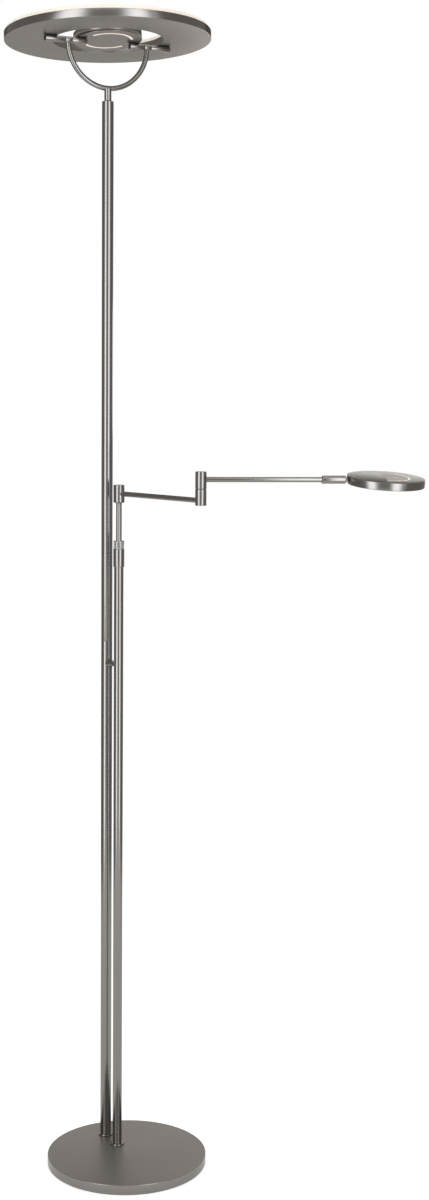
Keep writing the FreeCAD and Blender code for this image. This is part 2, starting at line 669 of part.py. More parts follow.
def reading_head():
    centre = at(HEAD_CENTRE)
    dish = turned("head_dish", [
        ("0", ROOF), ("head_radius - head_wall", ROOF), ("head_radius - head_wall", HEAD_LOW),
        ("head_radius - head_edge / 2", HEAD_LOW), ("head_radius", HEAD_LOW + " + head_edge / 2"),
        ("head_radius", "head_height / 2 - head_edge"), ("head_radius - head_edge", "head_height / 2"),
        ("0", "head_height / 2")], centre)
    rim = cylinder("head_rim_space", "head_radius - head_wall / 2", "head_height", at(HEAD_CENTRE, z=HEAD_LOW))
    boss = common("head_boss", boss_box("head_boss_box", "0"), rim)
    notch = block("head_notch", "notch_depth + cut_margin", "eye_width + 2 * open_gap",
                  "head_height / 2 + eye_radius + 2 * open_gap + cut_margin",
                  at("0 - tilt_pin_inset - cut_margin", "0 - eye_width / 2 - open_gap",
                     HEAD_LOW + " - cut_margin"))
    pin_way = cylinder("head_pin_way", "tilt_pin_radius + seat_play / 2", "boss_width",
                       at(y="boss_width / 2 - cut_margin / 2", turns=[turn("x", "90")]))
    slot = placed(arc_bar("head_slot", "head_arc_radius", "head_arc_width + 2 * seat_play",
                          ROOF + " - cut_margin", "head_wall + 2 * cut_margin", "head_arc_start",
                          "head_arc_sweep"), centre)
    housing = cut("head_housing", fuse("head_blank", dish, boss), notch, pin_way, slot)
    node(placed(housing, HEAD_AT), "head_housing")

    pin = cylinder("head_pin_rod", "tilt_pin_radius", "boss_width - 2 * cut_margin",
                   at(y="boss_width / 2 - cut_margin", turns=[turn("x", "90")]))
    node(placed(group("head_pin", [pin]), HEAD_AT), "head_pin")

    lens = cylinder("head_lens", "head_radius - head_wall - open_gap", "head_diffuser_height",
                    at(HEAD_CENTRE, z=HEAD_LOW + " + head_edge / 2"))
    node(placed(cut("head_diffuser", lens, boss_box("head_lens_relief", "open_gap")), HEAD_AT), "head_diffuser")

    guide = placed(arc_bar("head_guide", "head_arc_radius", "head_arc_width",
                           "head_height / 2 - head_guide_height", "head_guide_height", "head_arc_start",
                           "head_arc_sweep"), centre)
    node(placed(group("head_light_guide", [guide]), HEAD_AT), "head_light_guide")

    board_low = "head_height / 2 - head_guide_height - board_thickness"
    board = cylinder("head_board_disc", "head_board_radius", "board_thickness", at(HEAD_CENTRE, z=board_low))
    node(placed(cut("head_led_board", board, boss_box("head_board_relief", "open_gap")), HEAD_AT),
         "head_led_board")
    lights = placed(chips("head_chip", HEAD_CHIPS, "head_chip_radius", board_low + " - chip_height"), centre)
    node(placed(group("head_leds", [lights]), HEAD_AT), "head_leds")


# ---------------------------------------------------------------- yoke
YOKE_AT = at(y="main_pole_y", z="pivot_level")
TUBE_START = "yoke_bend_radius + yoke_barrel_length / 2 + open_gap"
PUCK_TUBE_LAST = "yoke_bend_radius - yoke_barrel_length / 2 - open_gap"
SIDES = (("left", "0 - 90"), ("right", "90"))


def bent_tube(name, radius):
    """Half a turn of round tube hanging under the pivot axis."""
    half = doc.addObject("Part::Torus", name)
    half.setExpression("Radius1", sized("yoke_bend_radius"))
    half.setExpression("Radius2", sized(radius))
    half.Angle3 = 180
    return placed(half, at(turns=[turn("x", "0 - 90")]))


def across(name, radius, start, length, heading):
    """A round bar along the pivot axis, from a distance out to one side."""
    return cylinder(name, radius, length,
                    at("(%s) * sin(%s)" % (start, heading), turns=[turn("y", heading)]))


def yoke():
    barrel_start = "yoke_bend_radius - yoke_barrel_length / 2"
    cut_start = barrel_start + " - cut_margin"
    cut_length = "yoke_barrel_length + 2 * cut_margin"
    clear = [across("yoke_tube_%s_clear" % side, "pivot_tube_radius + seat_play", cut_start, cut_length,
                    heading) for side, heading in SIDES]
    bend = cut("yoke_bend", bent_tube("yoke_bend_outer", "yoke_tube_radius"),
               bent_tube("yoke_bend_inner", "yoke_tube_radius - yoke_tube_wall"), *clear)
    node(placed(group("yoke_tube", [bend]), YOKE_AT), "yoke_tube")

    barrels = []
    axles = []
    for side, heading in SIDES:
        outer = across("yoke_barrel_%s_outer" % side, "pivot_tube_radius", barrel_start, "yoke_barrel_length",
                       heading)
        bore = across("yoke_barrel_%s_bore" % side, "axle_radius + seat_play / 2", cut_start, cut_length,
                      heading)
        barrels.append(cut("yoke_barrel_" + side, outer, bore))
        axle_start = "puck_tube_end + plug_length + axle_end_gap"
        axles.append(across("axle_" + side, "axle_radius", axle_start,
                            "ring_tube_end - plug_length - axle_end_gap - (%s)" % axle_start, heading))
    node(placed(group("yoke_barrels", barrels), YOKE_AT), "yoke_barrels")
    node(placed(group("pivot_axles", axles), YOKE_AT), "pivot_axles")

    stub_low = "main_pole_top - pivot_level + open_gap"
    spigot_low = "main_pole_top - pivot_level - top_bush_length - yoke_retainer_length - cut_margin"
    stub = turned("yoke_stub_blank", [
        ("0", spigot_low), ("yoke_spigot_radius", spigot_low), ("yoke_spigot_radius", stub_low),
        ("yoke_stub_radius - edge_break", stub_low), ("yoke_stub_radius", stub_low + " + edge_break"),
        ("yoke_stub_radius", "0 - yoke_bend_radius"), ("0", "0 - yoke_bend_radius")])
    saddle = bent_tube("yoke_stub_saddle", "yoke_tube_radius + seat_play")
    node(placed(cut("yoke_stub", stub, saddle), YOKE_AT), "yoke_stub")
    retainer_top = "main_pole_top - top_bush_length - open_gap"
    node(tube("yoke_retainer", "yoke_retainer_radius", "yoke_spigot_radius + seat_play / 2",
              retainer_top + " - yoke_retainer_length", retainer_top, MAIN_AT), "yoke_retainer")


# ---------------------------------------------------------------- uplighter ring and centre puck
UNDERSIDE = "(pivot_tube_radius - pivot_flat_depth)"
RING_AT = at(y="main_pole_y", z="pivot_level", turns=[turn("x", "ring_tilt")])
PUCK_AT = at(y="main_pole_y", z="pivot_level", turns=[turn("x", "puck_tilt")])


def pivot_tubes(name, plugs_name, first, last, plug_at_last, frame):
    """Two tubes that turn on the axles, flattened on top where they seat under the light, and their plugs."""
    tubes = []
    plugs = []
    for side, heading in SIDES:
        outer = across("%s_%s_outer" % (name, side), "pivot_tube_radius", first, "%s - (%s)" % (last, first),
                       heading)
        bore = across("%s_%s_bore" % (name, side), "axle_radius + running_fit", first + " - cut_margin",
                      "%s - (%s) + 2 * cut_margin" % (last, first), heading)
        plug_start = last + " - plug_length" if plug_at_last else first
        pocket_start = last + " - plug_length" if plug_at_last else first + " - cut_margin"
        pocket = across("%s_%s_pocket" % (name, side), "plug_radius + seat_play", pocket_start,
                        "plug_length + cut_margin", heading)
        flat_x = {"left": "0 - (%s) - cut_margin" % last, "right": "%s - cut_margin" % first}[side]
        flat = block("%s_%s_flat" % (name, side), "%s - (%s) + 2 * cut_margin" % (last, first),
                     "2 * pivot_tube_radius", "pivot_tube_radius",
                     at(flat_x, "0 - pivot_tube_radius", UNDERSIDE))
        tubes.append(cut("%s_%s" % (name, side), outer, bore, pocket, flat))
        plugs.append(across("%s_%s" % (plugs_name, side), "plug_radius", plug_start, "plug_length", heading))
    node(placed(group(name, tubes), frame), name)
    node(placed(group(plugs_name, plugs), frame), plugs_name)


def uplighter_ring():
    top = UNDERSIDE + " + ring_height"
    floor = UNDERSIDE + " + ring_wall"
    out = "ring_outer_radius"
    hole = "ring_hole_radius"
    housing = turned("ring_shell", [
        (hole + " + ring_edge", UNDERSIDE), (out + " - ring_edge", UNDERSIDE),
        (out, UNDERSIDE + " + ring_edge"), (out, top + " - ring_edge"), (out + " - ring_edge", top),
        (out + " - ring_lip", top), (out + " - ring_lip", top + " - ring_wall"),
        (out + " - ring_wall", top + " - ring_wall"), (out + " - ring_wall", floor),
        (hole + " + ring_wall", floor), (hole + " + ring_wall", top + " - ring_wall"),
        (hole + " + ring_lip", top + " - ring_wall"), (hole + " + ring_lip", top),
        (hole + " + ring_edge", top), (hole, top + " - ring_edge"), (hole, UNDERSIDE + " + ring_edge")])
    node(placed(group("ring_housing", [housing]), RING_AT), "ring_housing")
    board_top = floor + " + board_thickness"
    board = tube("ring_board", out + " - ring_wall - ring_board_play", hole + " + ring_wall + ring_board_play",
                 floor, board_top)
    node(placed(group("ring_led_board", [board]), RING_AT), "ring_led_board")
    lights = chips("ring_chip", RING_CHIPS, "ring_chip_radius", board_top)
    node(placed(group("ring_leds", [lights]), RING_AT), "ring_leds")
    lens_out = out + " - ring_lip - open_gap"
    lens_in = hole + " + ring_lip + open_gap"
    lens_top = top + " + ring_diffuser_rise"
    round_off = "ring_diffuser_round"
    lens = turned("ring_lens", [
        (lens_out, board_top), (lens_out, lens_top + " - " + round_off),
        (lens_out + " - " + round_off, lens_top),
        (lens_in + " + " + round_off, lens_top), (lens_in, lens_top + " - " + round_off), (lens_in, board_top),
        (lens_in + " + ring_diffuser_wall", board_top),
        (lens_in + " + ring_diffuser_wall", lens_top + " - ring_diffuser_wall"),
        (lens_out + " - ring_diffuser_wall", lens_top + " - ring_diffuser_wall"),
        (lens_out + " - ring_diffuser_wall", board_top)])
    node(placed(group("ring_diffuser", [lens]), RING_AT), "ring_diffuser")
    pivot_tubes("ring_pivot_tubes", "ring_tube_plugs", TUBE_START, "ring_tube_end", True, RING_AT)


def centre_puck():
    top = UNDERSIDE + " + puck_height"
    floor = UNDERSIDE + " + ring_wall"
    out = "puck_radius"
    shell = turned("puck_shell", [
        ("0", UNDERSIDE), (out + " - ring_edge", UNDERSIDE), (out, UNDERSIDE + " + ring_edge"),
        (out, top + " - ring_edge"), (out + " - ring_edge", top), (out + " - ring_lip", top),
        (out + " - ring_lip", top + " - ring_wall"), (out + " - ring_wall", top + " - ring_wall"),
        (out + " - ring_wall", floor), ("0", floor)])
    starts = (("far", "90 - puck_arc_sweep / 2"), ("near", "270 - puck_arc_sweep / 2"))
    slots = [arc_bar("puck_slot_" + side, "puck_arc_radius", "puck_arc_width + 2 * seat_play",
                     UNDERSIDE + " - cut_margin", "ring_wall + 2 * cut_margin", start, "puck_arc_sweep")
             for side, start in starts]
    node(placed(cut("puck_housing", shell, *slots), PUCK_AT), "puck_housing")
    guides = [arc_bar("puck_guide_" + side, "puck_arc_radius", "puck_arc_width", UNDERSIDE,
                      "puck_guide_height", start, "puck_arc_sweep") for side, start in starts]
    node(placed(group("puck_light_guides", guides), PUCK_AT), "puck_light_guides")
    board_low = UNDERSIDE + " + puck_guide_height"
    board_top = board_low + " + board_thickness"
    board = rod("puck_board", out + " - ring_wall - ring_board_play", board_low, board_top)
    lights = chips("puck_chip", PUCK_CHIPS, "puck_chip_radius", board_top)
    node(placed(group("puck_led_board", [board, lights]), PUCK_AT), "puck_led_board")
    lens_out = out + " - ring_lip - open_gap"
    lens_top = top + " + puck_diffuser_rise"
    lens = turned("puck_lens", [
        (lens_out, board_top), (lens_out, lens_top + " - ring_diffuser_round"),
        (lens_out + " - ring_diffuser_round", lens_top), ("0", lens_top),
        ("0", lens_top + " - ring_diffuser_wall"), (lens_out + " - ring_diffuser_wall",
                                                    lens_top + " - ring_diffuser_wall"),
        (lens_out + " - ring_diffuser_wall", board_top)])
    node(placed(group("puck_diffuser", [lens]), PUCK_AT), "puck_diffuser")
    pivot_tubes("puck_pivot_tubes", "puck_tube_plugs", "puck_tube_end", PUCK_TUBE_LAST, False, PUCK_AT)


# ---------------------------------------------------------------- build, check and write
base_cover()
base_weight()
base_small_parts()
pole_foot("main")
pole_foot("reading")
main_pole()
pole_spacer()
reading_pole()
clamp_nut()
sliding_rod()
lower_arm()
upper_arm()
neck()
reading_head()
yoke()
uplighter_ring()
centre_puck()
doc.recompute()

failed = [item.Name for item in doc.Objects if "Invalid" in item.State or "Error" in item.State]
if failed:
    raise RuntimeError("failed objects: " + ", ".join(failed))
for item in NODES:
    if item.Shape.isNull() or not item.Shape.isValid():
        raise RuntimeError("bad shape: " + item.Label)

os.makedirs("parts", exist_ok=True)
for item in NODES:
    item.Shape.exportStep("parts/%s.step" % item.Label)
    box = item.Shape.BoundBox
    print("%-22s solids %2d volume %10.1f  x %7.1f %7.1f  y %7.1f %7.1f  z %7.1f %7.1f" % (
        item.Label, len(item.Shape.Solids), item.Shape.Volume, box.XMin, box.XMax, box.YMin, box.YMax,
        box.ZMin, box.ZMax))
print(len(NODES), "sub-parts written")
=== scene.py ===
# %% [markdown]
# # A floor lamp with a ring uplighter and a reading light
# The construction is already made and measured. This lesson dresses it: each visible piece is modelled again
# with fine, softly rounded edges, gets its finish from shader nodes, and rides on the body that carries it.
# The frame comes first, because every size and place below is read from it.

# %% Load the frame
import json
import math

import bmesh
import bpy
from mathutils import Matrix, Vector


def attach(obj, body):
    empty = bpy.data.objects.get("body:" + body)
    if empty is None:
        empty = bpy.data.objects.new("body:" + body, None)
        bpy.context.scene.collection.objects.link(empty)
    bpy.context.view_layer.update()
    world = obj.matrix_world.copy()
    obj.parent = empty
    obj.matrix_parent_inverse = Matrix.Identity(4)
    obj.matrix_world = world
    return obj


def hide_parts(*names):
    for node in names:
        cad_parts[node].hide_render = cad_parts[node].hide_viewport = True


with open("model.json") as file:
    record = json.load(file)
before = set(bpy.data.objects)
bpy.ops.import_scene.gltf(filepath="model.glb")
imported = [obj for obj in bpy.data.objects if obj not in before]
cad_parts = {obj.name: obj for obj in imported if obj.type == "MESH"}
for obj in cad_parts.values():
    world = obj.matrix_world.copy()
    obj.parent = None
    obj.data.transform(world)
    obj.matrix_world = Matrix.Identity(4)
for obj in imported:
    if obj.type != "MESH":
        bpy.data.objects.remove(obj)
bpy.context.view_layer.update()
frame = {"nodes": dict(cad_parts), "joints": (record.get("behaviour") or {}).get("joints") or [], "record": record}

MM = 0.001
nodes = frame["nodes"]
record = frame["record"]
joints = {joint["name"]: joint for joint in frame["joints"]}
body_of = {node: body for body, members in record["behaviour"]["bodies"].items() for node in members}
slot_of = {part["node"]: part["material_slot"] for part in record["subparts"]}
print("nodes:", len(nodes), "joints:", len(joints))

# %% [markdown]
# ## Working frames
# A lamp is mostly turned metal, so each piece has an axis. A working frame is a matrix whose Z axis is that
# axis. The joints give the places: the poles' feet, the pivot under the ring, the two ends of each arm and
# the pin of the reading head. The tilts that the lamp stands at are the only angles given.

# %% Frames of the poles, the arms and the lights
RING_TILT = -3.1
PUCK_TILT = -7.5
HEAD_DROOP = 1.9


def turned(degrees, axis):
    """A rotation about one axis."""
    return Matrix.Rotation(math.radians(degrees), 4, axis)


def joint_place(name):
    return Vector(joints[name]["pos_m"])


def upright(name):
    """A frame on the floor whose Z axis is the upright axis of a joint."""
    return Matrix.Translation((joint_place(name).x, joint_place(name).y, 0))


def frame_along(origin, direction):
    """A frame at origin whose Z axis runs along a level direction and whose Y axis stays upright."""
    along = Vector(direction).normalized()
    up = Vector((0, 0, 1))
    return Matrix.Translation(origin) @ Matrix((up.cross(along), up, along)).transposed().to_4x4()


FOOT = Matrix.Identity(4)
MAIN_POLE = upright("yoke_swivel")
READING_POLE = upright("arm_swivel")
ELBOW = upright("elbow_swivel")
PIVOT = Matrix.Translation(joint_place("ring_tilt"))
RING = PIVOT @ turned(RING_TILT, "X")
PUCK = PIVOT @ turned(PUCK_TILT, "X")
HINGE_POINT = joint_place("arm_swivel")
ELBOW_POINT = Vector((ELBOW.translation.x, ELBOW.translation.y, HINGE_POINT.z))
LOWER_ARM = frame_along(HINGE_POINT, ELBOW_POINT - HINGE_POINT)
UPPER_ARM = frame_along(joint_place("elbow_swivel"), joints["head_twist"]["axis"])
NECK_X = Vector(joints["head_twist"]["axis"])
NECK_Y = Vector(joints["head_tilt"]["axis"])
NECK_TURN = Matrix((NECK_X, NECK_Y, NECK_X.cross(NECK_Y))).transposed().to_4x4()
NECK = Matrix.Translation(joint_place("head_tilt")) @ NECK_TURN
HEAD_PIN = NECK @ turned(HEAD_DROOP, "Y")
ALONG_PIN = HEAD_PIN @ turned(90, "X")
print("pivot at", tuple(round(v, 4) for v in PIVOT.translation))

# %% [markdown]
# ## Reading sizes from the frame
# A turned piece needs four numbers: its least and greatest radius and its two ends along the axis. Measured
# in the piece's own frame, they hold for the tilted lights as well as for the upright poles. Where a node
# has two tubes or a step, the gauge is told which of its points to look at.

# %% A gauge for turned pieces


class Gauge:
    """The extent of a frame node about the Z axis of a working frame, in metres."""

    def __init__(self, name, place, where=lambda point: True):
        inward = place.inverted()
        points = [inward @ v.co for v in nodes[name].data.vertices]
        points = [point for point in points if where(point)]
        self.inner = min(point.xy.length for point in points)
        self.outer = max(point.xy.length for point in points)
        self.least = Vector([min(point[i] for point in points) for i in range(3)])
        self.most = Vector([max(point[i] for point in points) for i in range(3)])
        self.low = self.least.z
        self.high = self.most.z


main_tube = Gauge("main_pole_lower", MAIN_POLE)
print("main pole radius %.1f mm" % (main_tube.outer / MM))

# %% [markdown]
# ## Finishes: satin nickel
# Every metal surface on this lamp is nickel plate that was brushed before plating. Seen close up it is a
# field of very fine parallel scratches: they change the roughness a little, catch light as tiny ridges and
# make faint streaks in the tone. One noise texture, stretched far along the brushing direction, drives all
# three. A small kit keeps the recipes short: it adds a node and feeds each of its inputs in one go.

# %% A small kit for shader nodes


class Shader:
    """A material or world in the making."""

    def __init__(self, name, family="materials", surface="Principled BSDF"):
        self.owner = getattr(bpy.data, family).new(name)
        self.owner.use_nodes = True
        self.tree = self.owner.node_tree
        self.surface = self.tree.nodes[surface]

    def feed(self, node, feeds):
        """Gives each named input of a node its value, or a link from another node's output."""
        for socket, value in feeds.items():
            if isinstance(value, bpy.types.NodeSocket):
                self.tree.links.new(value, node.inputs[socket])
            else:
                node.inputs[socket].default_value = value

    def add(self, kind, feeds, **settings):
        """A new node with its settings and its inputs."""
        made = self.tree.nodes.new(kind)
        for key, value in settings.items():
            setattr(made, key, value)
        self.feed(made, feeds)
        return made

    def place(self, scale, turn=(0, 0, 0), centre=(0, 0, 0)):
        """Object coordinates with centre as their middle, turned and then scaled."""
        vector = self.add("ShaderNodeTexCoord", {}).outputs["Object"]
        for socket, value in (("Location", [-c for c in centre]), ("Rotation", turn), ("Scale", scale)):
            vector = self.add("ShaderNodeMapping", {socket: value, "Vector": vector}).outputs["Vector"]
        return vector

    def noise(self, vector, scale, detail):
        feeds = {"Vector": vector, "Scale": scale, "Detail": detail}
        return self.add("ShaderNodeTexNoise", feeds).outputs["Fac"]

    def even_noise(self, scale, detail):
        """A noise that is as fine in every direction."""
        return self.noise(self.place((scale, scale, scale)), 1, detail)

    def between(self, factor, low, high, start=0.3, stop=0.7):
        """A number that runs from low to high as the factor runs from start to stop."""
        feeds = {"Value": factor, "From Min": start, "From Max": stop, "To Min": low, "To Max": high}
        return self.add("ShaderNodeMapRange", feeds).outputs["Result"]

    def around(self, factor, middle, spread):
        return self.between(factor, middle - spread, middle + spread)

    def tones(self, factor, colour, dark, light):
        """A colour that the factor takes from a darker share of itself to a lighter one."""
        first, last = [tuple(c * share for c in colour) + (1,) for share in (dark, light)]
        feeds = {"Factor": self.between(factor, 0, 1), "A": first, "B": last}
        return self.add("ShaderNodeMix", feeds, data_type="RGBA").outputs["Result"]

    def plus(self, first, second):
        return self.add("ShaderNodeMath", {0: first, 1: second}, operation="ADD").outputs["Value"]

    def relief(self, height, depth, strength):
        """Ridges on the surface, as deep as a length in metres."""
        bump = self.add("ShaderNodeBump", {"Height": height, "Distance": depth, "Strength": strength})
        self.feed(self.surface, {"Normal": bump.outputs["Normal"]})


# %% [markdown]
# Tubes are brushed along their length, discs in circles round their centre, so the builder of the material
# gets the grain as an argument.

# %% Satin nickel with a straight grain
NICKEL = (0.285, 0.268, 0.252)
GRAIN_ACROSS = 1600
GRAIN_ALONG = 10
GRAIN_TONE = 0.03
GRAIN_DEPTH = 0.002 * MM
UNEVEN = 0.02


def brushed(shader, grain, colour, rough, matt=None):
    """Links a grain pattern to the tone, the roughness and the relief of a nickel surface."""
    wear = shader.even_noise(9, 2)
    roughness = shader.plus(shader.around(grain, 0, UNEVEN), shader.around(wear, rough, UNEVEN))
    if matt is not None:
        roughness = shader.plus(roughness, matt)
    tone = shader.tones(grain, colour, 1 - GRAIN_TONE, 1 + GRAIN_TONE)
    shader.feed(shader.surface, {"Base Color": tone, "Roughness": roughness, "Metallic": 1})
    shader.relief(grain, GRAIN_DEPTH, 0.15)
    return shader.owner


def straight_nickel(name, turn=(0, 0, 0), colour=NICKEL, rough=0.19):
    """Nickel brushed along the Z axis of the turned coordinates."""
    shader = Shader(name)
    grain = shader.noise(shader.place((GRAIN_ACROSS, GRAIN_ACROSS, GRAIN_ALONG), turn), 1, 2)
    return brushed(shader, grain, colour, rough)


upright_nickel = straight_nickel("upright_nickel")
print("made", upright_nickel.name)

# %% [markdown]
# The arms lie down, so their grain has to lie down with them: the coordinates are turned until Z runs along
# the arm. The neck of the head and the tubes across the lamp get a material of their own too.

# %% Nickel along the arms


def turn_into(place):
    """The turn that brings object coordinates into line with a frame."""
    return place.to_3x3().inverted().to_euler()


lower_arm_nickel = straight_nickel("lower_arm_nickel", turn_into(LOWER_ARM))
upper_arm_nickel = straight_nickel("upper_arm_nickel", turn_into(UPPER_ARM))
neck_nickel = straight_nickel("neck_nickel", turn_into(NECK))
across_nickel = straight_nickel("across_nickel", (0, math.radians(90), 0))
print("made", lower_arm_nickel.name, upper_arm_nickel.name, neck_nickel.name, across_nickel.name)

# %% [markdown]
# A disc is brushed while it spins, so its scratches are circles. The distance from the centre is worked out
# from the coordinates and used as the noise coordinate: all points at one distance get one value, and the
# height adds a second coordinate, so that the grain also runs round the rim. The flat face is finished with
# a coarser belt than the rim, so it is more matt up to the rim's radius.

# %% Nickel with a round grain
FACE_MATT = 0.2
HEAD_FACE_MATT = 0.08


def round_nickel(name, place, rim=None, face=FACE_MATT):
    """Nickel brushed in circles round the Z axis of a frame, more matt inside the radius of a rim."""
    shader = Shader(name)
    local = shader.place((1, 1, 1), turn_into(place), place.translation)
    parts = shader.add("ShaderNodeSeparateXYZ", {"Vector": local}).outputs
    flat = shader.add("ShaderNodeCombineXYZ", {"X": parts["X"], "Y": parts["Y"]}).outputs["Vector"]
    distance = shader.add("ShaderNodeVectorMath", {0: flat}, operation="LENGTH").outputs["Value"]
    rings = shader.add("ShaderNodeCombineXYZ", {"X": distance, "Z": parts["Z"]}).outputs["Vector"]
    grain = shader.noise(rings, GRAIN_ACROSS, 3)
    matt = None
    if rim is not None:
        matt = shader.between(distance, face, 0, rim - 1.5 * MM, rim - 0.5 * MM)
    return brushed(shader, grain, NICKEL, 0.2, matt)


head_gauge = Gauge("head_housing", HEAD_PIN)
HEAD_RADIUS = (head_gauge.most.x - head_gauge.least.x) / 2
HEAD = HEAD_PIN @ Matrix.Translation(((head_gauge.most.x + head_gauge.least.x) / 2, 0, 0))
cover = Gauge("base_cover", FOOT)
ring = Gauge("ring_housing", RING)
puck = Gauge("puck_housing", PUCK)
base_nickel = round_nickel("base_nickel", FOOT, cover.outer)
ring_nickel = round_nickel("ring_nickel", RING, ring.outer)
puck_nickel = round_nickel("puck_nickel", PUCK, puck.outer)
head_nickel = round_nickel("head_nickel", HEAD, HEAD_RADIUS, HEAD_FACE_MATT)
print("head radius %.1f mm" % (HEAD_RADIUS / MM))

# %% [markdown]
# The knurled nut is plated brighter than the tubes, but its little ridges break up what it mirrors. It takes
# the same recipe, lighter and rougher.

# %% Bright nickel for the knurled nut
bright_nickel = straight_nickel("bright_nickel", colour=(0.38, 0.37, 0.355), rough=0.38)
print("made", bright_nickel.name)

# %% [markdown]
# ## Finishes: lit acrylic
# The tops of the ring and the puck are milky acrylic lit from inside, and so are the thin arcs let into the
# head and the puck. Milky acrylic scatters light below its skin; a lit one is also a light. A weak emission
# that a broad noise makes slightly uneven, as round the separate chips below, is enough, over a smooth skin.

# %% Opal acrylic and light guides


def lit_acrylic(name, colour, glow, rough):
    """Milky plastic with light behind it."""
    shader = Shader(name)
    cloud = shader.even_noise(18, 2)
    skin = shader.even_noise(400, 2)
    tone = shader.tones(cloud, colour, 0.97, 1)
    shader.feed(shader.surface, {
        "Base Color": tone, "Roughness": shader.around(skin, rough, 0.04),
        "Emission Color": tone, "Emission Strength": shader.around(cloud, glow, 0.03 * glow),
        "Subsurface Weight": 0.15, "Subsurface Scale": 2 * MM})
    shader.relief(skin, 0.01 * MM, 0.2)
    return shader.owner


opal_acrylic = lit_acrylic("opal_acrylic", (0.93, 0.84, 0.74), 0.35, 0.35)
light_guide = lit_acrylic("light_guide", (0.90, 0.74, 0.66), 0.5, 0.4)
print("made", opal_acrylic.name, light_guide.name)

# %% [markdown]
# ## Finishes: what the cover hides
# Turned over or taken apart, the lamp shows zinc plated screws, the rough casting that keeps it standing,
# felt with its soft sheen, black plastic, white circuit boards and yellow chips. They get their own recipes,
# because a part is looked at from every side.

# %% Zinc, casting, plastics and felt


def speckled(name, colour, spread, rough, size, depth, more={}):
    """A surface whose tone, roughness and relief follow one even noise."""
    shader = Shader(name)
    grain = shader.even_noise(size, 4)
    tone = shader.tones(grain, colour, 1 - spread, 1 + spread)
    shader.feed(shader.surface, {"Base Color": tone, "Roughness": shader.around(grain, rough, 0.06)})
    shader.feed(shader.surface, more)
    shader.relief(grain, depth, 0.6)
    return shader.owner


zinc_steel = speckled("zinc_steel", (0.52, 0.53, 0.55), 0.06, 0.32, 600, 0.01 * MM, {"Metallic": 1})
cast_weight = speckled("cast_weight", (0.10, 0.10, 0.10), 0.3, 0.7, 350, 0.2 * MM)
black_plastic = speckled("black_plastic", (0.028, 0.028, 0.03), 0.15, 0.45, 900, 0.02 * MM)
circuit_board = speckled("circuit_board", (0.80, 0.81, 0.79), 0.03, 0.4, 300, 0.01 * MM)
led_chip = speckled("led_chip", (0.86, 0.70, 0.25), 0.05, 0.35, 800, 0.01 * MM)
felt = speckled("felt", (0.035, 0.034, 0.033), 0.35, 0.9, 1400, 0.3 * MM,
                {"Sheen Weight": 0.4, "Sheen Roughness": 0.5})
print("materials so far:", len(bpy.data.materials))

# %% [markdown]
# ## Modelling helpers
# Most pieces come off a lathe: the outline of half a section is drawn edge by edge with extrude, and spun
# round the axis. An outline that starts and ends on the axis makes a solid piece, any other one is closed
# and makes a ring or a tube. Most have square steps only, and are written as radius, level, radius, level,
# to a last radius.

# %% A lathe
SAME_POINT = 0.001 * MM
STEPS = 96
SLIM_STEPS = 64


def alone(piece):
    """Selects one object and nothing else."""
    bpy.ops.object.select_all(action="DESELECT")
    piece.select_set(True)
    bpy.context.view_layer.objects.active = piece


def first_point(name, place):
    """A new object in edit mode with a single point."""
    bpy.ops.mesh.primitive_plane_add(size=MM)
    piece = bpy.context.object
    piece.name = name
    piece.data.name = name
    bpy.ops.object.mode_set(mode="EDIT")
    bpy.ops.mesh.merge(type="CENTER")
    bpy.ops.transform.translate(value=place)
    return piece


def draw_on(step):
    """Extrudes the selected point by one step of an outline."""
    bpy.ops.mesh.extrude_region_move(TRANSFORM_OT_translate={"value": step})


def spin(angle, steps, centre=(0, 0, 0), axis=(0, 0, 1)):
    """Sweeps the selection round an axis, counter-clockwise; the operator's own angle runs clockwise."""
    bpy.ops.mesh.spin(steps=steps, angle=-angle, center=centre, axis=axis)


def clean_mesh():
    """Joins doubled points and turns all faces outwards."""
    bpy.ops.mesh.select_all(action="SELECT")
    bpy.ops.mesh.remove_doubles(threshold=SAME_POINT)
    bpy.ops.mesh.normals_make_consistent(inside=False)
    bpy.ops.object.mode_set(mode="OBJECT")


def stepped(*turns):
    """The corners of an outline with square steps."""
    corners = []
    for radius, level, next_radius in zip(turns[::2], turns[1::2], turns[2::2]):
        corners += [(radius, level), (next_radius, level)]
    return corners


def lathe(name, corners, steps=STEPS):
    """Draws an outline of (radius, level) corners and spins it round the Z axis."""
    piece = first_point(name, (corners[0][0], 0, corners[0][1]))
    on_axis = corners[0][0] == 0 and corners[-1][0] == 0
    outline = corners if on_axis else corners + corners[:1]
    for (radius, level), (next_radius, next_level) in zip(outline, outline[1:]):
        draw_on((next_radius - radius, 0, next_level - level))
    bpy.ops.mesh.select_all(action="SELECT")
    spin(math.tau, steps)
    clean_mesh()
    return piece


# %% [markdown]
# A real edge is never perfectly sharp: a small round catches the light as a thin line. The bevel modifier
# breaks every edge that is sharper than a limit, is applied at once, and the faces are shaded smooth but for
# the edges that stay sharp.

# %% Soft edges and places
SHARP = math.radians(35)


def smooth(angle=SHARP):
    """Shades the active piece smooth, but for its sharp edges."""
    bpy.ops.object.shade_smooth_by_angle(angle=angle)


def apply_modifier(piece, kind, **settings):
    """Adds a modifier with its settings and applies it."""
    alone(piece)
    modifier = piece.modifiers.new(kind.title(), kind)
    for key, value in settings.items():
        setattr(modifier, key, value)
    bpy.ops.object.modifier_apply(modifier=modifier.name)


def soften(piece, width, segments=3):
    """Rounds the sharp edges and shades the rest smooth."""
    apply_modifier(piece, "BEVEL", width=width, segments=segments, limit_method="ANGLE", angle_limit=SHARP)
    smooth()
    return piece


def put(piece, place):
    """Moves a piece into a frame, and its place into its mesh."""
    piece.matrix_world = place
    alone(piece)
    bpy.ops.object.transform_apply()
    return piece


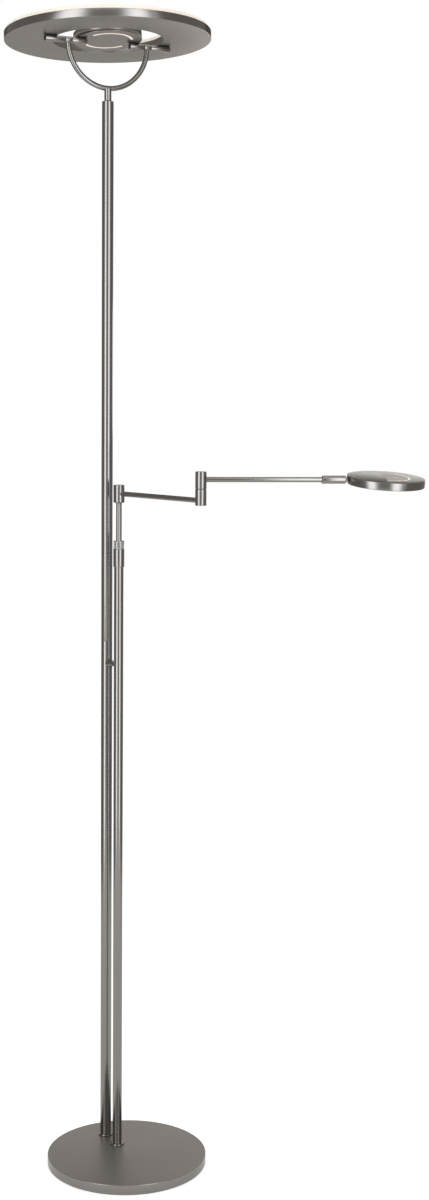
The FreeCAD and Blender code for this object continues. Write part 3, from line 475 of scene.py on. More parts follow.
def combine(piece, other, operation="DIFFERENCE"):
    """Cuts another mesh out of a piece, or joins it on, and removes the other one."""
    apply_modifier(piece, "BOOLEAN", operation=operation, solver="EXACT", object=other)
    bpy.data.objects.remove(other)
    return piece


# %% [markdown]
# ## Dressing
# A finished piece rides on the body of the node that it stands for, hides that node and gets its material.

# %% Dress a piece
made_pieces = []


def dress(piece, node, material):
    """Lets a piece stand for a node of the frame."""
    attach(piece, body_of[node])
    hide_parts(node)
    piece.data.materials.clear()
    piece.data.materials.append(material)
    made_pieces.append(piece)


def turned_piece(node, corners, place, material=upright_nickel, edge=0.4 * MM, steps=STEPS):
    """The usual case: off the lathe, soft edges, into its frame, dressed."""
    piece = put(soften(lathe("fine_" + node, corners, steps), edge), place)
    dress(piece, node, material)
    return piece


def tube_outline(gauge):
    """The section of a plain tube."""
    return stepped(gauge.inner, gauge.low, gauge.outer, gauge.high, gauge.inner)


def disc_outline(gauge):
    """The section of a solid disc or rod."""
    return stepped(0, gauge.low, gauge.outer, gauge.high, 0)


def bore(radius, low, high, place):
    """A cutter for a round hole along the Z axis of a frame."""
    return put(lathe("cutter", stepped(0, low, radius, high, 0)), place)


print("dressing is ready")

# %% [markdown]
# ## The foot
# The foot is a shallow steel pan turned over a cast weight. Its rim meets the top in a small round that
# draws a bright line all round it. The lathe makes it in one go, with the wall as part of the outline, so
# that it is hollow when the lamp is turned over. The pole studs and the lead pass through holes.

# %% Base cover
COVER_WALL = 1.5 * MM
STUD_HOLE = 5.05 * MM
GROMMET_LEVEL = 8 * MM
GROMMET_WAIST = 4.5 * MM
FOOT_STEPS = 240
cover_under = cover.high - COVER_WALL
base = lathe("fine_base_cover", stepped(
    0, cover_under, cover.outer - COVER_WALL, cover.low, cover.outer, cover.high, 0), FOOT_STEPS)
soften(base, 1.1 * MM, 5)
for pole in (MAIN_POLE, READING_POLE):
    combine(base, bore(STUD_HOLE, cover_under - MM, cover.high + MM, pole))
grommet_axis = Matrix.Translation((0, 0, GROMMET_LEVEL)) @ turned(-90, "X")
grommet = Gauge("cord_grommet", grommet_axis)
combine(base, bore(GROMMET_WAIST, cover.outer - 3 * COVER_WALL, cover.outer + MM, grommet_axis))
smooth()
dress(base, "base_cover", base_nickel)
print("base radius %.1f mm, height %.1f mm" % (cover.outer / MM, cover.high / MM))

# %% [markdown]
# Under the pan lies a felt pad, with a cut edge that is a little soft, and at the back a rubber grommet
# lines the hole for the lead. The grommet is gripped by the rim, so it has a waist between two lips.

# %% Felt pad and lead grommet
turned_piece("base_pad", disc_outline(Gauge("base_pad", FOOT)), FOOT, felt, 0.5 * MM, FOOT_STEPS)

lip_start = cover.outer - COVER_WALL
neck_of_grommet = GROMMET_WAIST - 0.1 * MM
turned_piece("cord_grommet", [
    (grommet.inner, grommet.low), (GROMMET_WAIST, grommet.low), (GROMMET_WAIST, lip_start - 2 * MM),
    (grommet.outer, lip_start - 1.6 * MM), (grommet.outer, lip_start - 0.4 * MM),
    (neck_of_grommet, lip_start - 0.2 * MM), (neck_of_grommet, cover.outer + 0.2 * MM),
    (grommet.outer, cover.outer + 0.4 * MM), (grommet.outer - 0.7 * MM, grommet.high),
    (grommet.inner, grommet.high)], grommet_axis, black_plastic, 0.25 * MM, SLIM_STEPS)
print("grommet reaches %.1f mm from the middle" % (grommet.high / MM))

# %% [markdown]
# ## The two poles
# Each pole stands on a thin flange. The main pole is two tubes with a hairline seam half way up; the reading
# pole is thinner and ends in a sleeve. All are tubes, so their outline is a narrow box.

# %% Flanges and tubes
FLANGE_EDGE = 0.6 * MM
TUBE_EDGE = 0.3 * MM
for name, place in (("main_pole_flange", MAIN_POLE), ("reading_pole_flange", READING_POLE),
                    ("main_pole_lower", MAIN_POLE), ("main_pole_upper", MAIN_POLE),
                    ("reading_pole", READING_POLE)):
    edge = FLANGE_EDGE if "flange" in name else TUBE_EDGE
    turned_piece(name, tube_outline(Gauge(name, place)), place, edge=edge)
print("pole top at %.1f mm" % (Gauge("main_pole_upper", MAIN_POLE).high / MM))

# %% [markdown]
# A turned peg keeps the poles apart. It starts as a wide cup on the main pole, tapers, and ends as a thin
# neck on the reading pole. Both ends are hollowed by the tube they touch, which a boolean cut does exactly.

# %% Spacer between the poles
FIT = 0.05 * MM
CUP_END = 16 * MM
CONE_END = 22 * MM
NECK_START = 30 * MM
spacer = Gauge("pole_spacer", MAIN_POLE)
spacer_level = (spacer.low + spacer.high) / 2
spacer_axis = MAIN_POLE @ Matrix.Translation((0, 0, spacer_level)) @ turned(90, "X")
cup_radius = (spacer.high - spacer.low) / 2
neck_radius = Gauge("pole_spacer", spacer_axis, lambda point: point.z > NECK_START).outer
pole_distance = (MAIN_POLE.translation - READING_POLE.translation).length
reading_tube = Gauge("reading_pole", READING_POLE)
peg = lathe("fine_pole_spacer", [
    (0, 0), (cup_radius, 0), (cup_radius, CUP_END), (neck_radius, CONE_END), (neck_radius, pole_distance),
    (0, pole_distance)])
put(soften(peg, 0.5 * MM), spacer_axis)
reach = 2 * cup_radius
for gauge, place in ((main_tube, MAIN_POLE), (reading_tube, READING_POLE)):
    combine(peg, bore(gauge.outer + FIT, spacer_level - reach, spacer_level + reach, place))
smooth()
dress(peg, "pole_spacer", upright_nickel)
print("poles are %.1f mm apart" % (pole_distance / MM))

# %% [markdown]
# ## Height clamp
# A sleeve crowns the reading pole. Its upper end is a slimmer thread that disappears in the knurled nut.

# %% Pole sleeve
THREAD_LIMIT = 8 * MM
sleeve = Gauge("reading_pole_sleeve", READING_POLE)
sleeve_body = Gauge("reading_pole_sleeve", READING_POLE, lambda point: point.xy.length > THREAD_LIMIT)
thread = Gauge("reading_pole_sleeve", READING_POLE, lambda point: point.z > sleeve_body.high + MM)
inside = reading_tube.outer + FIT
turned_piece("reading_pole_sleeve", stepped(
    inside, sleeve.low, sleeve.outer, sleeve_body.high, thread.outer, thread.high, thread.inner,
    reading_tube.high, inside), READING_POLE)
print("thread radius %.1f mm" % (thread.outer / MM))

# %% [markdown]
# The nut is a turned cap too, but its grip is knurled: upright grooves all round. The lathe is asked for
# four steps to each groove, and then every fourth point of the grip is drawn towards the axis. A short test
# on each point selects them.

# %% Knurled nut
KNURLS = 30
STEPS_PER_KNURL = 4
KNURL_DEPTH = 0.4 * MM
KNURL_SHARP = math.radians(15)
GRIP_INSET = 1.2 * MM
RIM = 0.3 * MM
ROD_PLAY = 0.3 * MM


def pick(test):
    """In edit mode, selects the points that pass a test and nothing else."""
    bpy.ops.mesh.select_mode(type="VERT")
    bpy.ops.mesh.select_all(action="DESELECT")
    mesh = bmesh.from_edit_mesh(bpy.context.object.data)
    for point in mesh.verts:
        point.select = test(point.co)
    mesh.select_flush(True)
    bmesh.update_edit_mesh(bpy.context.object.data)


def in_groove(point):
    """True for points at the outer radius, between the two rims, on every fourth step."""
    step = math.atan2(point.y, point.x) / math.tau * KNURLS
    on_grip = grip_low < point.z < grip_high and point.xy.length > nut.outer - 0.1 * MM
    return on_grip and abs(step - round(step)) < 0.1


nut = Gauge("clamp_nut", READING_POLE)
rod = Gauge("reading_rod", READING_POLE)
grip_low = nut.low + GRIP_INSET
grip_high = nut.high - GRIP_INSET
rod_hole = rod.outer + ROD_PLAY
thread_hole = thread.outer + FIT
roof = thread.high + ROD_PLAY
clamp = lathe("fine_clamp_nut", [
    (nut.outer - RIM, nut.low), (nut.outer, nut.low + RIM), (nut.outer, grip_low - RIM),
    (nut.outer, grip_low + RIM), (nut.outer, grip_high - RIM), (nut.outer, grip_high + RIM),
    (nut.outer, nut.high - RIM), (nut.outer - RIM, nut.high), (rod_hole, nut.high), (rod_hole, roof),
    (thread_hole, roof), (thread_hole, nut.low)], KNURLS * STEPS_PER_KNURL)
alone(clamp)
bpy.ops.object.mode_set(mode="EDIT")
pick(in_groove)
shrink = 1 - KNURL_DEPTH / nut.outer
bpy.ops.transform.resize(value=(shrink, shrink, 1), center_override=(0, 0, 0))
bpy.ops.object.mode_set(mode="OBJECT")
smooth(KNURL_SHARP)
put(clamp, READING_POLE)
dress(clamp, "clamp_nut", bright_nickel)
print("nut with", KNURLS, "grooves")

# %% [markdown]
# ## The sliding rod and the hinge
# The rod comes up through the nut and carries the hinge barrel of the lower arm. Barrels are turned blocks
# with a pocket at the top, closed by a cap that hides the screw head. The arm tube ends in a blind hole.

# %% Rod, hinge barrel and cap
POCKET_DEPTH = 6 * MM
SHOULDER_BORE = 4.05 * MM


def seat_arm(barrel, arm, place):
    """Drills the blind hole in which an arm tube ends."""
    combine(barrel, bore(arm.outer + FIT, arm.low - FIT, arm.low + 6 * arm.outer, place))
    smooth()


def capped_barrel(name, cap_name, place, edge, arm, arm_place):
    """A barrel with a bore, a pocket for the screw head and the seat of an arm, and the cap above it."""
    body = Gauge(name, place)
    cap = Gauge(cap_name, place)
    piece = turned_piece(name, stepped(
        SHOULDER_BORE, body.low, body.outer, body.high, cap.outer + FIT, body.high - POCKET_DEPTH,
        SHOULDER_BORE), place, edge=edge)
    seat_arm(piece, arm, arm_place)
    cap_nickel = round_nickel(cap_name + "_nickel", place)
    turned_piece(cap_name, disc_outline(cap), place, cap_nickel, 0.3 * MM, SLIM_STEPS)
    return body


turned_piece("reading_rod", tube_outline(rod), READING_POLE, steps=SLIM_STEPS)
lower_tube = Gauge("lower_arm", LOWER_ARM)
hinge = capped_barrel("hinge_barrel", "hinge_cap", READING_POLE, 0.6 * MM, lower_tube, LOWER_ARM)
print("hinge from %.1f to %.1f mm" % (hinge.low / MM, hinge.high / MM))

# %% [markdown]
# ## The swing arm
# Two thin tubes, joined by a pair of barrels that turn on each other at the elbow, with a hairline gap
# between them. The lower barrel is a blind block, the upper one has the pocket and the cap. A wider sleeve
# ends the upper arm and takes the neck of the reading head.

# %% Arm tubes and elbow
SCREW_BORE = 2.55 * MM
ELBOW_EDGE = 0.5 * MM
upper_tube = Gauge("upper_arm", UPPER_ARM)
turned_piece("lower_arm", tube_outline(lower_tube), LOWER_ARM, lower_arm_nickel, 0.2 * MM, SLIM_STEPS)
turned_piece("upper_arm", tube_outline(upper_tube), UPPER_ARM, upper_arm_nickel, 0.2 * MM, SLIM_STEPS)

elbow_low = Gauge("elbow_lower_barrel", ELBOW)
bore_floor = HINGE_POINT.z + lower_tube.outer + 0.5 * MM
elbow_piece = turned_piece("elbow_lower_barrel", stepped(
    0, elbow_low.low, elbow_low.outer, elbow_low.high, SCREW_BORE, bore_floor, 0), ELBOW, edge=ELBOW_EDGE)
far_end = Matrix.Translation((0, 0, lower_tube.high + lower_tube.low)) @ turned(180, "Y")
seat_arm(elbow_piece, lower_tube, LOWER_ARM @ far_end)

elbow_high = capped_barrel("elbow_upper_barrel", "elbow_cap", ELBOW, ELBOW_EDGE, upper_tube, UPPER_ARM)
print("elbow gap %.2f mm" % ((elbow_high.low - elbow_low.high) / MM))

# %% End sleeve
CLIP_RADIUS = 5 * MM
CLIP_ROOM = 7 * MM
STEM_START = -10 * MM
end_sleeve = Gauge("arm_end_sleeve", UPPER_ARM)
neck = Gauge("head_neck", NECK)
neck_stem = Gauge("head_neck", NECK, lambda point: point.x < STEM_START)
arm_wall = upper_tube.outer + FIT
turned_piece("arm_end_sleeve", stepped(
    arm_wall, end_sleeve.low, end_sleeve.outer, end_sleeve.high, neck_stem.most.z + FIT,
    upper_tube.high + CLIP_ROOM, CLIP_RADIUS, upper_tube.high, arm_wall),
    UPPER_ARM, upper_arm_nickel, 0.5 * MM, SLIM_STEPS)
print("end sleeve %.1f mm long" % ((end_sleeve.high - end_sleeve.low) / MM))

# %% [markdown]
# ## The neck
# A short stem turns inside the end sleeve and carries a flat eye for the tilt pin. The two are separate
# turned forms that a boolean union melts into one piece before the pin's hole is drilled.

# %% Neck with its eye
ALONG_NECK = NECK @ turned(90, "Y")
ALONG_EYE = NECK @ turned(90, "X")
eye_radius = neck.most.x
eye_half = neck.most.y
pin = Gauge("head_pin", ALONG_PIN)
stem = lathe("fine_head_neck", stepped(0, neck.least.x, neck_stem.most.z, 0, 0), SLIM_STEPS)
eye = lathe("eye", stepped(0, -eye_half, eye_radius, eye_half, 0), SLIM_STEPS)
put(stem, ALONG_NECK)
put(eye, ALONG_EYE)
combine(stem, eye, "UNION")
combine(stem, bore(pin.outer + FIT, -2 * eye_half, 2 * eye_half, ALONG_EYE))
soften(stem, 0.3 * MM, 2)
dress(stem, "head_neck", neck_nickel)
print("eye %.1f mm wide" % (2 * eye_half / MM))

# %% [markdown]
# ## Light guides
# The head and the puck carry thin lit arcs with round ends. Such a bar is drawn as a flat strip: three
# points across its width are spun along the arc, and at each end the outer half of the strip's edge is spun
# by half a turn about its middle, which makes the round end. Extruding the flat shape gives it its height.
# The same maker cuts the slots, a hair wider than the bars.

# %% An arc with round ends
END_STEPS = 12
DEGREES_PER_STEP = 2


def arc_bar(name, gauge, low, high, start, sweep, play=0):
    """A bar as wide as its gauge says, bent along an arc about Z, with angles in radians."""
    radius = (gauge.inner + gauge.outer) / 2
    half = (gauge.outer - gauge.inner + play) / 2
    outward = Vector((math.cos(start), math.sin(start), 0))
    first = outward * (radius - half)
    piece = first_point(name, (first.x, first.y, low))
    draw_on(outward * half)
    draw_on(outward * half)
    bpy.ops.mesh.select_all(action="SELECT")
    spin(sweep, int(math.degrees(sweep) / DEGREES_PER_STEP))
    for angle, turn in ((start + sweep, math.pi), (start, -math.pi)):
        direction = Vector((math.cos(angle), math.sin(angle), 0))
        middle = direction * radius + Vector((0, 0, low))
        outer = direction * (radius + half) + Vector((0, 0, low))
        pick(lambda point: min((point - middle).length, (point - outer).length) < SAME_POINT)
        spin(turn, END_STEPS, middle)
    bpy.ops.mesh.select_all(action="SELECT")
    bpy.ops.mesh.remove_doubles(threshold=SAME_POINT)
    bpy.ops.mesh.extrude_region_move(TRANSFORM_OT_translate={"value": (0, 0, high - low)})
    clean_mesh()
    return piece


# %% [markdown]
# ## The reading head
# The head is a shallow dish with a flat top. The lathe makes the dish; a block is joined on where the hinge
# pin needs meat, a notch lets the neck's eye in, the pin's hole runs across it, and the lit arc gets its
# slot.

# %% Head housing
HEAD_WALL = 1.6 * MM
BOSS_DEPTH = 14 * MM
BOSS_HALF = 18 * MM / 2
NOTCH_DEPTH = 10 * MM
PLAY = 0.3 * MM
SLOT_PLAY = 0.1 * MM
DISC_STEPS = 160
ARC_START = math.radians(-97)
ARC_SWEEP = math.radians(190)


def brick(least, most):
    """A block between two corners in the frame of the head's pin, as a tool for joining and cutting."""
    bpy.ops.mesh.primitive_cube_add(size=1, location=(Vector(least) + Vector(most)) / 2)
    piece = bpy.context.object
    piece.scale = Vector(most) - Vector(least)
    bpy.ops.object.transform_apply()
    return put(piece, HEAD_PIN)


head_top = head_gauge.most.z
head_floor = head_gauge.least.z
head_roof = head_top - HEAD_WALL
head_inside = HEAD_RADIUS - HEAD_WALL
pin_edge = head_gauge.least.x
guide = Gauge("head_light_guide", HEAD)
dish = lathe("fine_head_housing", stepped(
    0, head_roof, head_inside, head_floor, HEAD_RADIUS, head_top, 0), DISC_STEPS)
put(soften(dish, 0.7 * MM, 4), HEAD)
boss = brick((pin_edge, -BOSS_HALF, head_floor + PLAY), (pin_edge + BOSS_DEPTH, BOSS_HALF, head_roof))
mid_wall = HEAD_RADIUS - HEAD_WALL / 2
rim_space = lathe("rim_space", stepped(0, head_floor, mid_wall, head_top, 0), DISC_STEPS)
combine(boss, put(rim_space, HEAD), "INTERSECT")
combine(dish, boss, "UNION")
combine(dish, brick((pin_edge - MM, -eye_half - PLAY, head_floor - MM),
                    (pin_edge + NOTCH_DEPTH, eye_half + PLAY, eye_radius + 2 * PLAY)))
combine(dish, bore(pin.outer, -BOSS_HALF, BOSS_HALF, ALONG_PIN))
slot = arc_bar("slot", guide, head_roof - MM, head_top + MM, ARC_START, ARC_SWEEP, SLOT_PLAY)
combine(dish, put(slot, HEAD))
smooth()
dress(dish, "head_housing", head_nickel)
print("head %.1f mm across" % (2 * HEAD_RADIUS / MM))

# %% Head light guide, pin and diffuser
GUIDE_EDGE = 0.15 * MM
head_arc = arc_bar("fine_head_light_guide", guide, guide.low, guide.high, ARC_START, ARC_SWEEP)
put(soften(head_arc, GUIDE_EDGE, 2), HEAD)
dress(head_arc, "head_light_guide", light_guide)

turned_piece("head_pin", disc_outline(pin), ALONG_PIN, zinc_steel, 0.2 * MM, 32)

lens = Gauge("head_diffuser", HEAD)
lens_piece = lathe("fine_head_diffuser", disc_outline(lens), DISC_STEPS)
put(soften(lens_piece, 0.4 * MM), HEAD)
combine(lens_piece, brick((pin_edge - MM, -BOSS_HALF - PLAY, head_floor - MM),
                          (pin_edge + BOSS_DEPTH + PLAY, BOSS_HALF + PLAY, head_roof)))
smooth()
dress(lens_piece, "head_diffuser", opal_acrylic)
print("diffuser %.1f mm thick" % ((lens.high - lens.low) / MM))

# %% [markdown]
# ## The yoke
# Above the main pole a bent tube carries both lights. It is half a ring: a circle of points is drawn at one
# end of the bend and spun by half a turn under the pivot axis. Its open ends are then given a wall, and the
# barrels through which the axles pass are cut out of it.

# %% Bent tube
TUBE_WALL = 1 * MM
ACROSS = {"left": turned(-90, "Y"), "right": turned(90, "Y")}


def right_side(node, place):
    """The gauge of a pair's right half, along the pivot axis."""
    return Gauge(node, place @ ACROSS["right"], lambda point: point.z > 0)


yoke = Gauge("yoke_tube", PIVOT)
tube_radius = yoke.most.y
bend_radius = yoke.most.x - tube_radius
yoke_barrel = right_side("yoke_barrels", PIVOT)

bpy.ops.mesh.primitive_circle_add(vertices=48, radius=tube_radius, location=(bend_radius, 0, 0))
bend = bpy.context.object
bend.name = "fine_yoke_tube"
bpy.ops.object.transform_apply()
bpy.ops.object.mode_set(mode="EDIT")
bpy.ops.mesh.extrude_region_move()
inner_share = (tube_radius - TUBE_WALL) / tube_radius
bpy.ops.transform.resize(value=(inner_share, inner_share, inner_share), center_override=(bend_radius, 0, 0))
bpy.ops.mesh.select_all(action="SELECT")
spin(math.pi, STEPS, axis=(0, 1, 0))
clean_mesh()
put(bend, PIVOT)
for side in ACROSS.values():
    combine(bend, bore(yoke_barrel.outer + FIT, yoke_barrel.low - MM, yoke_barrel.high + MM, PIVOT @ side))
smooth()
dress(bend, "yoke_tube", round_nickel("yoke_nickel", PIVOT @ turned(90, "X")))
print("bend radius %.1f mm" % (bend_radius / MM))

# %% [markdown]
# The spin has to go under the axis and not over it, and the lowest point of the mesh shows whether it did.

# %% Check the bend and add the stub below it
SPIGOT_LIMIT = 5.2 * MM
lowest = min(v.co.z for v in bend.data.vertices)
expected = PIVOT.translation.z + yoke.low
print("lowest point of the bend %.1f mm, in the frame %.1f mm" % (lowest / MM, expected / MM))
stub = Gauge("yoke_stub", MAIN_POLE)
stub_head = Gauge("yoke_stub", MAIN_POLE, lambda point: point.xy.length > SPIGOT_LIMIT)
spigot = Gauge("yoke_stub", MAIN_POLE, lambda point: point.z < stub_head.low - MM)
stub_piece = lathe("fine_yoke_stub", stepped(
    0, stub.low, spigot.outer, stub_head.low, stub_head.outer, PIVOT.translation.z - bend_radius, 0),
    SLIM_STEPS)
put(soften(stub_piece, 0.4 * MM), MAIN_POLE)
bpy.ops.mesh.primitive_torus_add(location=PIVOT.translation, rotation=(math.radians(90), 0, 0),
                                 major_radius=bend_radius, minor_radius=tube_radius + FIT,
                                 major_segments=192, minor_segments=48)
combine(stub_piece, bpy.context.object)
smooth()
dress(stub_piece, "yoke_stub", upright_nickel)

# %% [markdown]
# ## The pivot
# Ring, puck and yoke share one axis across the lamp. Short tubes turn on two hidden axles: the inner ones
# carry the puck, the yoke's barrels sit between, and the outer ones carry the ring. Each carrying tube is
# flattened on top, where the light rests on it. One maker turns a pair, left and right, cuts the flats with
# a bisecting plane, and joins the two into the node's single piece.

# %% Pivot tubes and barrels
PLUG_LENGTH = 3 * MM


def joined(first, second):
    """Makes two meshes one."""
    alone(first)
    second.select_set(True)
    bpy.ops.object.join()
    return first


def pair(node, outline, place, material, flat_at=None):
    """One piece made of a left and a right copy of a turned form along the pivot axis."""
    halves = []
    for side, turn in ACROSS.items():
        half = put(soften(lathe("half_" + side, outline, SLIM_STEPS), 0.25 * MM, 2), turn)
        if flat_at is not None:
            bpy.ops.object.mode_set(mode="EDIT")
            bpy.ops.mesh.select_all(action="SELECT")
            bpy.ops.mesh.bisect(plane_co=(0, 0, flat_at), plane_no=(0, 0, 1), clear_outer=True, use_fill=True)
            bpy.ops.object.mode_set(mode="OBJECT")
        halves.append(half)
    piece = joined(*halves)
    piece.name = "fine_" + node
    smooth()
    dress(put(piece, place), node, material)


axle = right_side("pivot_axles", PIVOT)
ring_tube = right_side("ring_pivot_tubes", RING)
puck_tube = right_side("puck_pivot_tubes", PUCK)
ring_plug = right_side("ring_tube_plugs", RING)
puck_plug = right_side("puck_tube_plugs", PUCK)
axle_bore = axle.outer + FIT
barrel_bore = axle.outer + FIT / 2
plug_bore = ring_plug.outer + FIT
pair("ring_pivot_tubes", stepped(
    axle_bore, ring_tube.low, ring_tube.outer, ring_tube.high, plug_bore, ring_tube.high - PLUG_LENGTH,
    axle_bore), RING, across_nickel, ring.low)
pair("puck_pivot_tubes", stepped(
    axle_bore, puck_tube.high, puck_tube.outer, puck_tube.low, plug_bore, puck_tube.low + PLUG_LENGTH,
    axle_bore), PUCK, across_nickel, ring.low)
pair("ring_tube_plugs", disc_outline(ring_plug), RING, black_plastic)
pair("puck_tube_plugs", disc_outline(puck_plug), PUCK, black_plastic)
pair("yoke_barrels", stepped(
    barrel_bore, yoke_barrel.low, yoke_barrel.outer, yoke_barrel.high, barrel_bore), PIVOT, across_nickel)
pair("pivot_axles", disc_outline(axle), PIVOT, zinc_steel)
print("pivot tubes from %.1f to %.1f mm" % (puck_tube.low / MM, ring_tube.high / MM))

# %% [markdown]
# ## The uplighter ring
# The ring is a trough with folded-in lips, and a milky cover rises out of it. Both are turned, and the
# outline of the trough is written from the underside round the outer wall, over the lip, along the inside
# and back over the inner wall.

# %% Ring housing and cover
RING_WALL = 1.5 * MM
RING_LIP = 4 * MM
TROUGH_EDGE = 0.6 * MM
OPAL_WALL = 2 * MM
OPAL_EDGE = 0.96 * MM
RING_STEPS = 240
floor_level = ring.low + RING_WALL
lip_level = ring.high - RING_WALL
turned_piece("ring_housing", stepped(
    ring.inner, ring.low, ring.outer, ring.high, ring.outer - RING_LIP, lip_level, ring.outer - RING_WALL,
    floor_level, ring.inner + RING_WALL, lip_level, ring.inner + RING_LIP, ring.high, ring.inner),
    RING, ring_nickel, TROUGH_EDGE, RING_STEPS)

opal = Gauge("ring_diffuser", RING)
outer_wall = opal.outer - OPAL_WALL
turned_piece("ring_diffuser", stepped(
    outer_wall, opal.low, opal.outer, opal.high, opal.inner, opal.low, opal.inner + OPAL_WALL,
    opal.high - OPAL_WALL, outer_wall), RING, opal_acrylic, OPAL_EDGE, RING_STEPS)
print("ring from radius %.1f to %.1f mm" % (ring.inner / MM, ring.outer / MM))

# %% [markdown]
# ## The centre puck
# The puck is a tilting disc of the same build, closed underneath but for two curved slots, each with a lit
# arc in it.

# %% Puck housing, cover and arcs
PUCK_ARC_SWEEP = math.radians(118)
ARC_STARTS = [middle - PUCK_ARC_SWEEP / 2 for middle in (math.radians(90), math.radians(270))]
puck_floor = puck.low + RING_WALL
arcs = Gauge("puck_light_guides", PUCK)
puck_piece = lathe("fine_puck_housing", stepped(
    0, puck.low, puck.outer, puck.high, puck.outer - RING_LIP, puck.high - RING_WALL,
    puck.outer - RING_WALL, puck_floor, 0), DISC_STEPS)
put(soften(puck_piece, TROUGH_EDGE), PUCK)
bars = []
for start in ARC_STARTS:
    slot = arc_bar("slot", arcs, puck.low - MM, puck_floor + MM, start, PUCK_ARC_SWEEP, SLOT_PLAY)
    combine(puck_piece, put(slot, PUCK))
    bar = arc_bar("bar", arcs, arcs.low, arcs.high, start, PUCK_ARC_SWEEP)
    bars.append(soften(bar, GUIDE_EDGE, 2))
alone(puck_piece)
smooth()
dress(puck_piece, "puck_housing", puck_nickel)

both_bars = joined(*bars)
both_bars.name = "fine_puck_light_guides"
dress(put(both_bars, PUCK), "puck_light_guides", light_guide)

puck_opal = Gauge("puck_diffuser", PUCK)
turned_piece("puck_diffuser", stepped(
    0, puck_opal.high, puck_opal.outer, puck_opal.low, puck_opal.outer - OPAL_WALL,
    puck_opal.high - OPAL_WALL, 0), PUCK, opal_acrylic, OPAL_EDGE, DISC_STEPS)
print("puck radius %.1f mm" % (puck.outer / MM))

# %% [markdown]
# ## The nodes that stay
# What is left of the frame shows only when the lamp is taken apart. These nodes keep their meshes and get
# the material of their slot.

# %% Materials for the inner nodes
slot_material = {
    "nickel_steel": upright_nickel, "bright_nickel": bright_nickel, "nickel_aluminium": upright_nickel,
    "zinc_steel": zinc_steel, "cast_weight": cast_weight, "felt": felt, "black_plastic": black_plastic,
    "opal_acrylic": opal_acrylic, "light_guide": light_guide, "circuit_board": circuit_board,
    "led_chip": led_chip}
kept = [node for node in nodes.values() if not node.hide_render]
for node in kept:
    node.data.materials.clear()
    node.data.materials.append(slot_material[slot_of[node.name]])
print(len(made_pieces), "pieces made,", len(kept), "nodes kept")

# %% [markdown]
# ## Camera
# The lamp is seen from the left front, from about chest height, through a normal lens, upright in the frame.

# %% Camera
CAMERA_PLACE = Vector((-1.2623, -2.5953, 1.2735))
YAW = 0.4993
PITCH = 0.1217
ROLL = 0.0092
FOCAL_PIXELS = 1854.3
PICTURE_HEIGHT = 1200
SENSOR = 36.0

forward = Vector((math.sin(YAW) * math.cos(PITCH), math.cos(YAW) * math.cos(PITCH), -math.sin(PITCH)))
level = Vector((math.cos(YAW), -math.sin(YAW), 0))
upward = level.cross(forward)
right = level * math.cos(ROLL) + upward * math.sin(ROLL)
top = upward * math.cos(ROLL) - level * math.sin(ROLL)
camera_data = bpy.data.cameras.new("camera")
camera_data.sensor_width = SENSOR
camera_data.lens = FOCAL_PIXELS / PICTURE_HEIGHT * SENSOR
camera_data.clip_start = 0.1
camera_data.clip_end = 60
camera = bpy.data.objects.new("camera", camera_data)
bpy.context.scene.collection.objects.link(camera)
camera.matrix_world = Matrix.Translation(CAMERA_PLACE) @ Matrix((right, top, -forward)).transposed().to_4x4()
bpy.context.scene.camera = camera
print("lens %.1f mm" % camera_data.lens)

# %% [markdown]
# ## Light
# Brushed tubes show nothing but their surroundings. The studio is therefore arranged round the lamp. Four
# tall soft boxes light it. What the metal mirrors is built apart, from upright screens that only reflections
# see: a bright pair beside the lens draws the two bright lines on each tube, a dim one between them the dark
# line in the middle, and dark ones further round the dark edges. Behind the lamp the tone changes with the
# height, because the foot mirrors the lowest part, the ring's underside the middle, and its rim the highest.
# The reading head's top mirrors a band of its own, behind it to the right.

# %% Soft boxes and screens
STRIP_DISTANCE = 2.6
STRIP_SIZE = (0.75, 2.6)
STRIP_ANGLES = (37, -37, 143, -143)
STRIP_RADIANCE = 3.0
HOT_CORE = 0.1
COOL = (0.95, 0.985, 1.03, 1)
WARM = (1, 0.965, 0.93, 1)

# Each row: name, angle from the lens and width in degrees, distance, lower and upper edge in metres, tone,
# share of the tone that is left at the sides, and colour.
SCREENS = (
    ("bright_right", 35, 38, 2.4, 0.0, 3.4, 3.4, 0.15, COOL),
    ("bright_left", -38, 44, 2.4, 0.0, 3.4, 3.3, 0.15, COOL),
    ("front", 0, 32, 3.2, 0.0, 3.4, 0.42, 1, WARM),
    ("side_right", 100, 80, 1.6, 0.0, 3.4, 0.3, 1, WARM),
    ("side_left", -100, 80, 1.6, 0.0, 3.4, 0.3, 1, WARM),
    ("back_low", 180, 82, 1.5, 0.0, 0.95, 0.72, 1, WARM),
    ("back_middle", 180, 82, 1.5, 0.95, 1.7, 0.52, 1, WARM),
    ("back_head", 150, 50, 1.3, 1.12, 1.45, 1.6, 0.9, WARM),
    ("back_high", 180, 82, 1.5, 1.7, 3.4, 0.12, 1, WARM))


def stand(stage_object, angle, distance, height):
    """Stands a light or screen round the lamp, at an angle in degrees from the lens, and faces the lamp."""
    heading = math.atan2(-forward.x, -forward.y) - math.radians(angle)
    stage_object.location = (math.sin(heading) * distance, math.cos(heading) * distance, height)
    to_lamp = Vector((0, 0, height)) - stage_object.location
    stage_object.rotation_euler = to_lamp.to_track_quat("-Z", "Y").to_euler()


for angle in STRIP_ANGLES:
    lamp_data = bpy.data.lights.new("strip", "AREA")
    lamp_data.shape = "RECTANGLE"
    lamp_data.size, lamp_data.size_y = STRIP_SIZE
    lamp_data.energy = STRIP_RADIANCE * math.pi * STRIP_SIZE[0] * STRIP_SIZE[1]
    lamp = bpy.data.objects.new("strip", lamp_data)
    bpy.context.scene.collection.objects.link(lamp)
    stand(lamp, angle, STRIP_DISTANCE, STRIP_SIZE[1] / 2)
    lamp.visible_camera = False
    lamp.visible_glossy = False


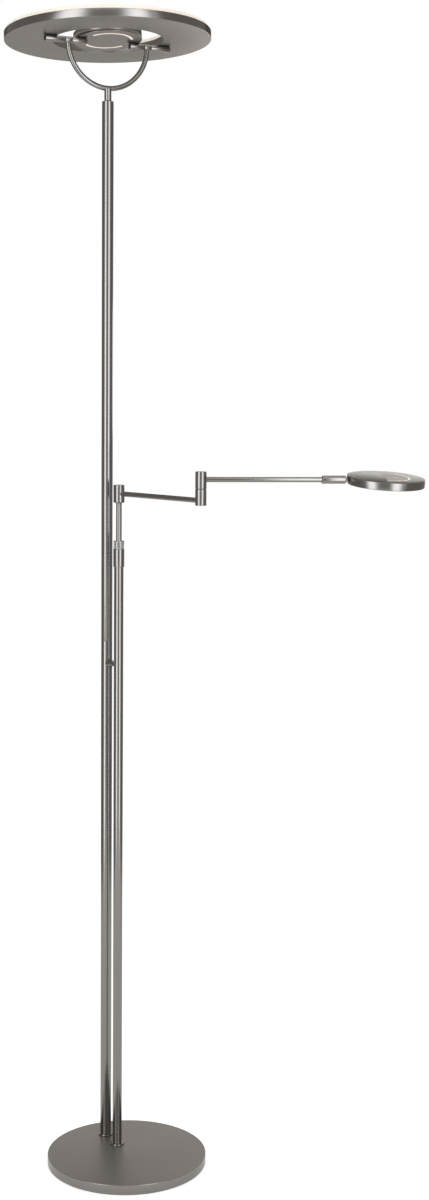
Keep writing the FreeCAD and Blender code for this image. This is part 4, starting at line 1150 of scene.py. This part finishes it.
def screen_material(name, tone, edge, colour):
    """A light that is brightest in the middle of a screen and falls to a share of it at both sides."""
    shader = Shader(name)
    parts = shader.add("ShaderNodeSeparateXYZ", {"Vector": shader.place((1, 1, 1))}).outputs
    aside = shader.add("ShaderNodeMath", {0: parts["X"]}, operation="ABSOLUTE").outputs["Value"]
    strength = shader.between(aside, tone, tone * edge, HOT_CORE, 0.5)
    strength.node.interpolation_type = "SMOOTHSTEP"
    glow = shader.add("ShaderNodeEmission", {"Color": colour, "Strength": strength})
    shader.feed(shader.tree.nodes["Material Output"], {"Surface": glow.outputs["Emission"]})
    return shader.owner


def screen(name, angle, span, distance, bottom, top_edge, tone, edge, colour):
    """An upright screen that only reflections see."""
    bpy.ops.mesh.primitive_plane_add(size=1)
    made = bpy.context.object
    made.name = "screen_" + name
    made.scale = (2 * distance * math.tan(math.radians(span / 2)), top_edge - bottom, 1)
    stand(made, angle, distance, (bottom + top_edge) / 2)
    made.data.materials.append(screen_material(name + "_tone", tone, edge, colour))
    for kind in ("camera", "diffuse", "transmission", "shadow", "volume_scatter"):
        setattr(made, "visible_" + kind, False)


for settings in SCREENS:
    screen(*settings)
print("lights:", len(STRIP_ANGLES), "screens:", len(SCREENS))

# %% [markdown]
# The room is white. What the lens sees directly is full white; what falls on the lamp as soft light is
# weaker, so that pale surfaces keep their tone. The floor shows the lamp's shadow, and is mirrored a little
# darker than it is seen.

# %% World and floor
FILL = 0.5
WHITE = (1, 1, 1, 1)
FLOOR_SIZE = 14
FLOOR_GLOW = 0.68
FLOOR_DIM = 0.3
PAPER = (0.6, 0.6, 0.6)
PAPER_TONE = 1 / 60


def seen_through(shader):
    """One where a camera, glossy or transmission ray looks, nought elsewhere."""
    path = shader.add("ShaderNodeLightPath", {}).outputs
    seen = path["Is Camera Ray"]
    for kind in ("Is Glossy Ray", "Is Transmission Ray"):
        seen = shader.add("ShaderNodeMath", {0: seen, 1: path[kind]}, operation="MAXIMUM").outputs["Value"]
    return seen


world = Shader("studio", "worlds", "Background")
bpy.context.scene.world = world.owner
fill = world.between(seen_through(world), FILL, 1, 0, 1)
world.feed(world.surface, {"Color": WHITE, "Strength": fill})

bpy.ops.mesh.primitive_plane_add(size=FLOOR_SIZE)
floor = bpy.context.object
floor.name = "floor"
paper = Shader("floor_paper")
paper_tone = paper.tones(paper.even_noise(60, 3), PAPER, 1 - PAPER_TONE, 1 + PAPER_TONE)
glow = paper.between(seen_through(paper), 0, FLOOR_GLOW, 0, 1)
in_mirrors = paper.add("ShaderNodeLightPath", {}).outputs["Is Glossy Ray"]
dimming = paper.between(in_mirrors, 0, -FLOOR_DIM, 0, 1)
paper.feed(paper.surface, {
    "Base Color": paper_tone, "Roughness": 0.9, "Emission Color": WHITE,
    "Emission Strength": paper.plus(glow, dimming)})
floor.data.materials.append(paper.owner)

bpy.context.scene.view_settings.view_transform = "Standard"
print("floor and world are in place")
